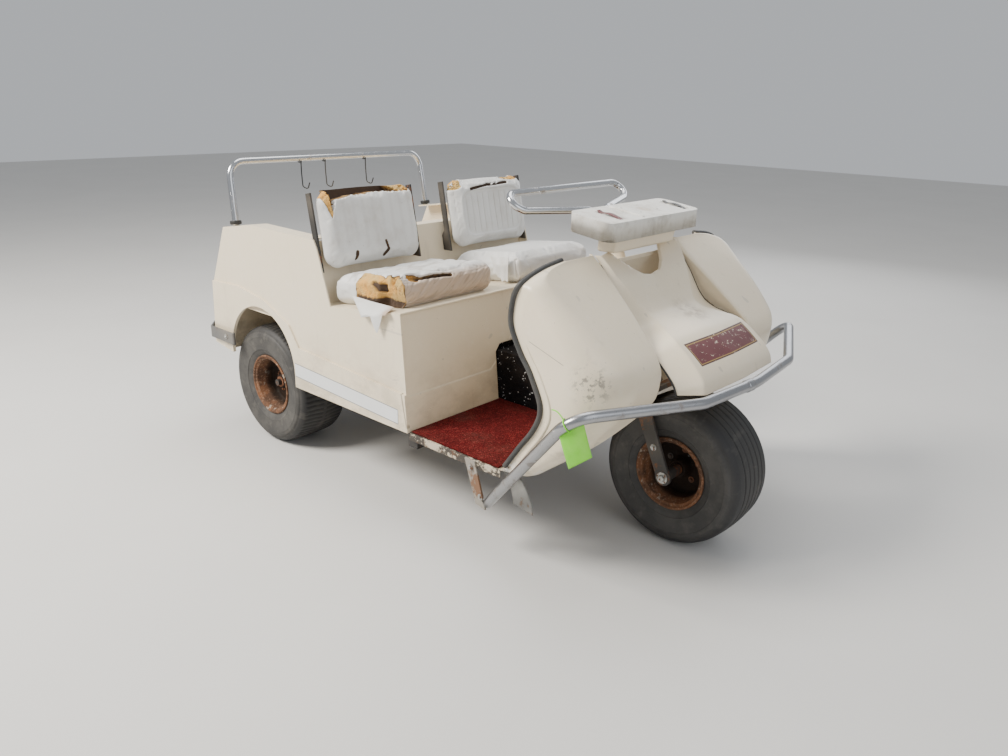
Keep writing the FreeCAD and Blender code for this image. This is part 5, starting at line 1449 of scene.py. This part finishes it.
# tag, axle centre across, dish, outward side, body
WHEELS = [("front", 0.0, 0.0, -1, "front_wheel"),
          ("rear_right", -0.4, 12.0, -1, "rear_wheel_right"),
          ("rear_left", 0.4, 12.0, 1, "rear_wheel_left")]
for tag, across, dish, outward, body in WHEELS:
    axle = np.array([across, *(FRONT_AXLE if tag == "front" else REAR_AXLE)[1:]])
    front = tag == "front"
    rubber_coat = tyre_rubber("tyre_rubber_" + tag, axle, 0.35 if front else 0.48)
    profile = tyre_profile(round_grooves, 105) if front else tyre_profile(lambda x: x * 0, 57)
    bars = None if front else (lambda turn, across, radius: (
        0.0030 * smooth(np.cos(turn * 72 + np.abs(across) * 14), 0.05, 0.55)
        * smooth(radius, 0.2215, 0.2235) * smooth(np.abs(across), 0.004, 0.009)))
    tyre = lathe("tyre_tread_" + tag, profile[:, 0], profile[:, 1], axle, rubber_coat, body,
                 180 if front else 504, bars)
    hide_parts("tyre_" + tag)
    disc = rim_profile(dish)
    paint = rim_paint("rim_paint_" + tag, axle)
    rim = lathe("rim_dish_" + tag, outward * disc[:, 0], disc[:, 1], axle, paint, body,
                96)
    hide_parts("rim_" + tag)
    turn = np.arange(5) * 2 * math.pi / 5 + 0.3
    face = dish / 1000 + 0.005
    sides = (-1, 1) if front else (outward,)
    for side in sides:
        nuts = axle + np.stack([np.full(5, side * face), STUD_CIRCLE * np.cos(turn),
                                STUD_CIRCLE * np.sin(turn)], axis=1)
        hex_bolts("wheel_nuts_%s_%s" % (tag, "right" if side < 0 else "left"), nuts,
                  [(side, 0, 0)] * 5, 0.0105, rusty_nut, body)
    if not front:
        hex_bolts("axle_nut_" + tag, [axle + np.array([outward * 0.0452, 0, 0])],
                  [(outward, 0, 0)], 0.022, rusty_nut, "chassis")
    valve = axle + np.stack([outward * np.linspace(0.060, 0.083, 6),
                             np.full(6, VALVE_CIRCLE * math.cos(VALVE_TURN)),
                             np.full(6, VALVE_CIRCLE * math.sin(VALVE_TURN))], axis=1)
    bar("valve_" + tag, valve, np.array([4.6, 4.2, 3.6, 3.4, 3.4, 2.6]) / 1000, black_rubber, body,
        12)

# The stage: a plain pale floor, soft studio light and the camera at the photograph's viewpoint.
def studio_floor():
    finish = Finish("studio_floor", {"Specular IOR Level": 0.3})
    soft = finish.cloud(1.5, 3.0)
    return finish.wear(soft.tint((0.60, 0.59, 0.57), (0.66, 0.65, 0.63)), soft * 0.1 + 0.75)


FLOOR_REACH = 14.0
corner = np.array([(-1, -1, 0), (1, -1, 0), (1, 1, 0), (-1, 1, 0)]) * FLOOR_REACH
ground_mesh = bpy.data.meshes.new("studio_floor")
ground_mesh.from_pydata(corner.tolist(), [], [[0, 1, 2, 3]])
ground_mesh.materials.append(studio_floor())
ground = bpy.data.objects.new("studio_floor", ground_mesh)
bpy.context.scene.collection.objects.link(ground)

world = bpy.data.worlds.new("studio")
bpy.context.scene.world = world
world.use_nodes = True
world.node_tree.nodes["Background"].inputs["Color"].default_value = (0.86, 0.89, 0.93, 1)
world.node_tree.nodes["Background"].inputs["Strength"].default_value = 0.58
LIT_POINT = Vector((0.0, 0.0, 0.45))
# name, place, size, watts, colour: the key stands on the right and a little behind
for name, place, size, power, colour in (
        ("key", (-3.4, 1.9, 3.9), 2.0, 470.0, (1.0, 0.955, 0.88)),
        ("fill", (-1.0, -4.4, 2.6), 3.6, 46.0, (0.93, 0.96, 1.0)),
        ("top", (0.8, 0.4, 4.6), 3.4, 95.0, (1.0, 0.99, 0.97)),
        ("left", (4.2, 0.6, 2.4), 3.0, 50.0, (0.95, 0.97, 1.0))):
    lamp = bpy.data.lights.new(name, "AREA")
    lamp.shape = "DISK"
    lamp.size = size
    lamp.energy = power
    lamp.color = colour
    stand = bpy.data.objects.new(name, lamp)
    bpy.context.scene.collection.objects.link(stand)
    turned = (LIT_POINT - Vector(place)).to_track_quat("-Z", "Y").to_matrix().to_4x4()
    stand.matrix_world = Matrix.Translation(place) @ turned

CAMERA_PLACE = (-2.0679, -1.8958, 1.2950)
YAW, PITCH, ROLL = math.radians(-48.552), math.radians(-19.4315), math.radians(1.2847)
FOCAL_PIXELS = 806.86
PHOTO_WIDTH = 1008
ahead = Vector((-math.sin(YAW) * math.cos(PITCH), math.cos(YAW) * math.cos(PITCH), math.sin(PITCH)))
level = Vector((math.cos(YAW), math.sin(YAW), 0.0))
above = level.cross(ahead)
right = level * math.cos(ROLL) + above * math.sin(ROLL)
up = above * math.cos(ROLL) - level * math.sin(ROLL)
lens = bpy.data.cameras.new("camera")
lens.sensor_width = 36.0
lens.lens = FOCAL_PIXELS / PHOTO_WIDTH * lens.sensor_width
lens.clip_end = 60.0
camera = bpy.data.objects.new("camera", lens)
bpy.context.scene.collection.objects.link(camera)
turned = Matrix((right, up, -ahead)).transposed().to_4x4()
camera.matrix_world = Matrix.Translation(CAMERA_PLACE) @ turned
bpy.context.scene.camera = camera

bpy.context.view_layer.update()
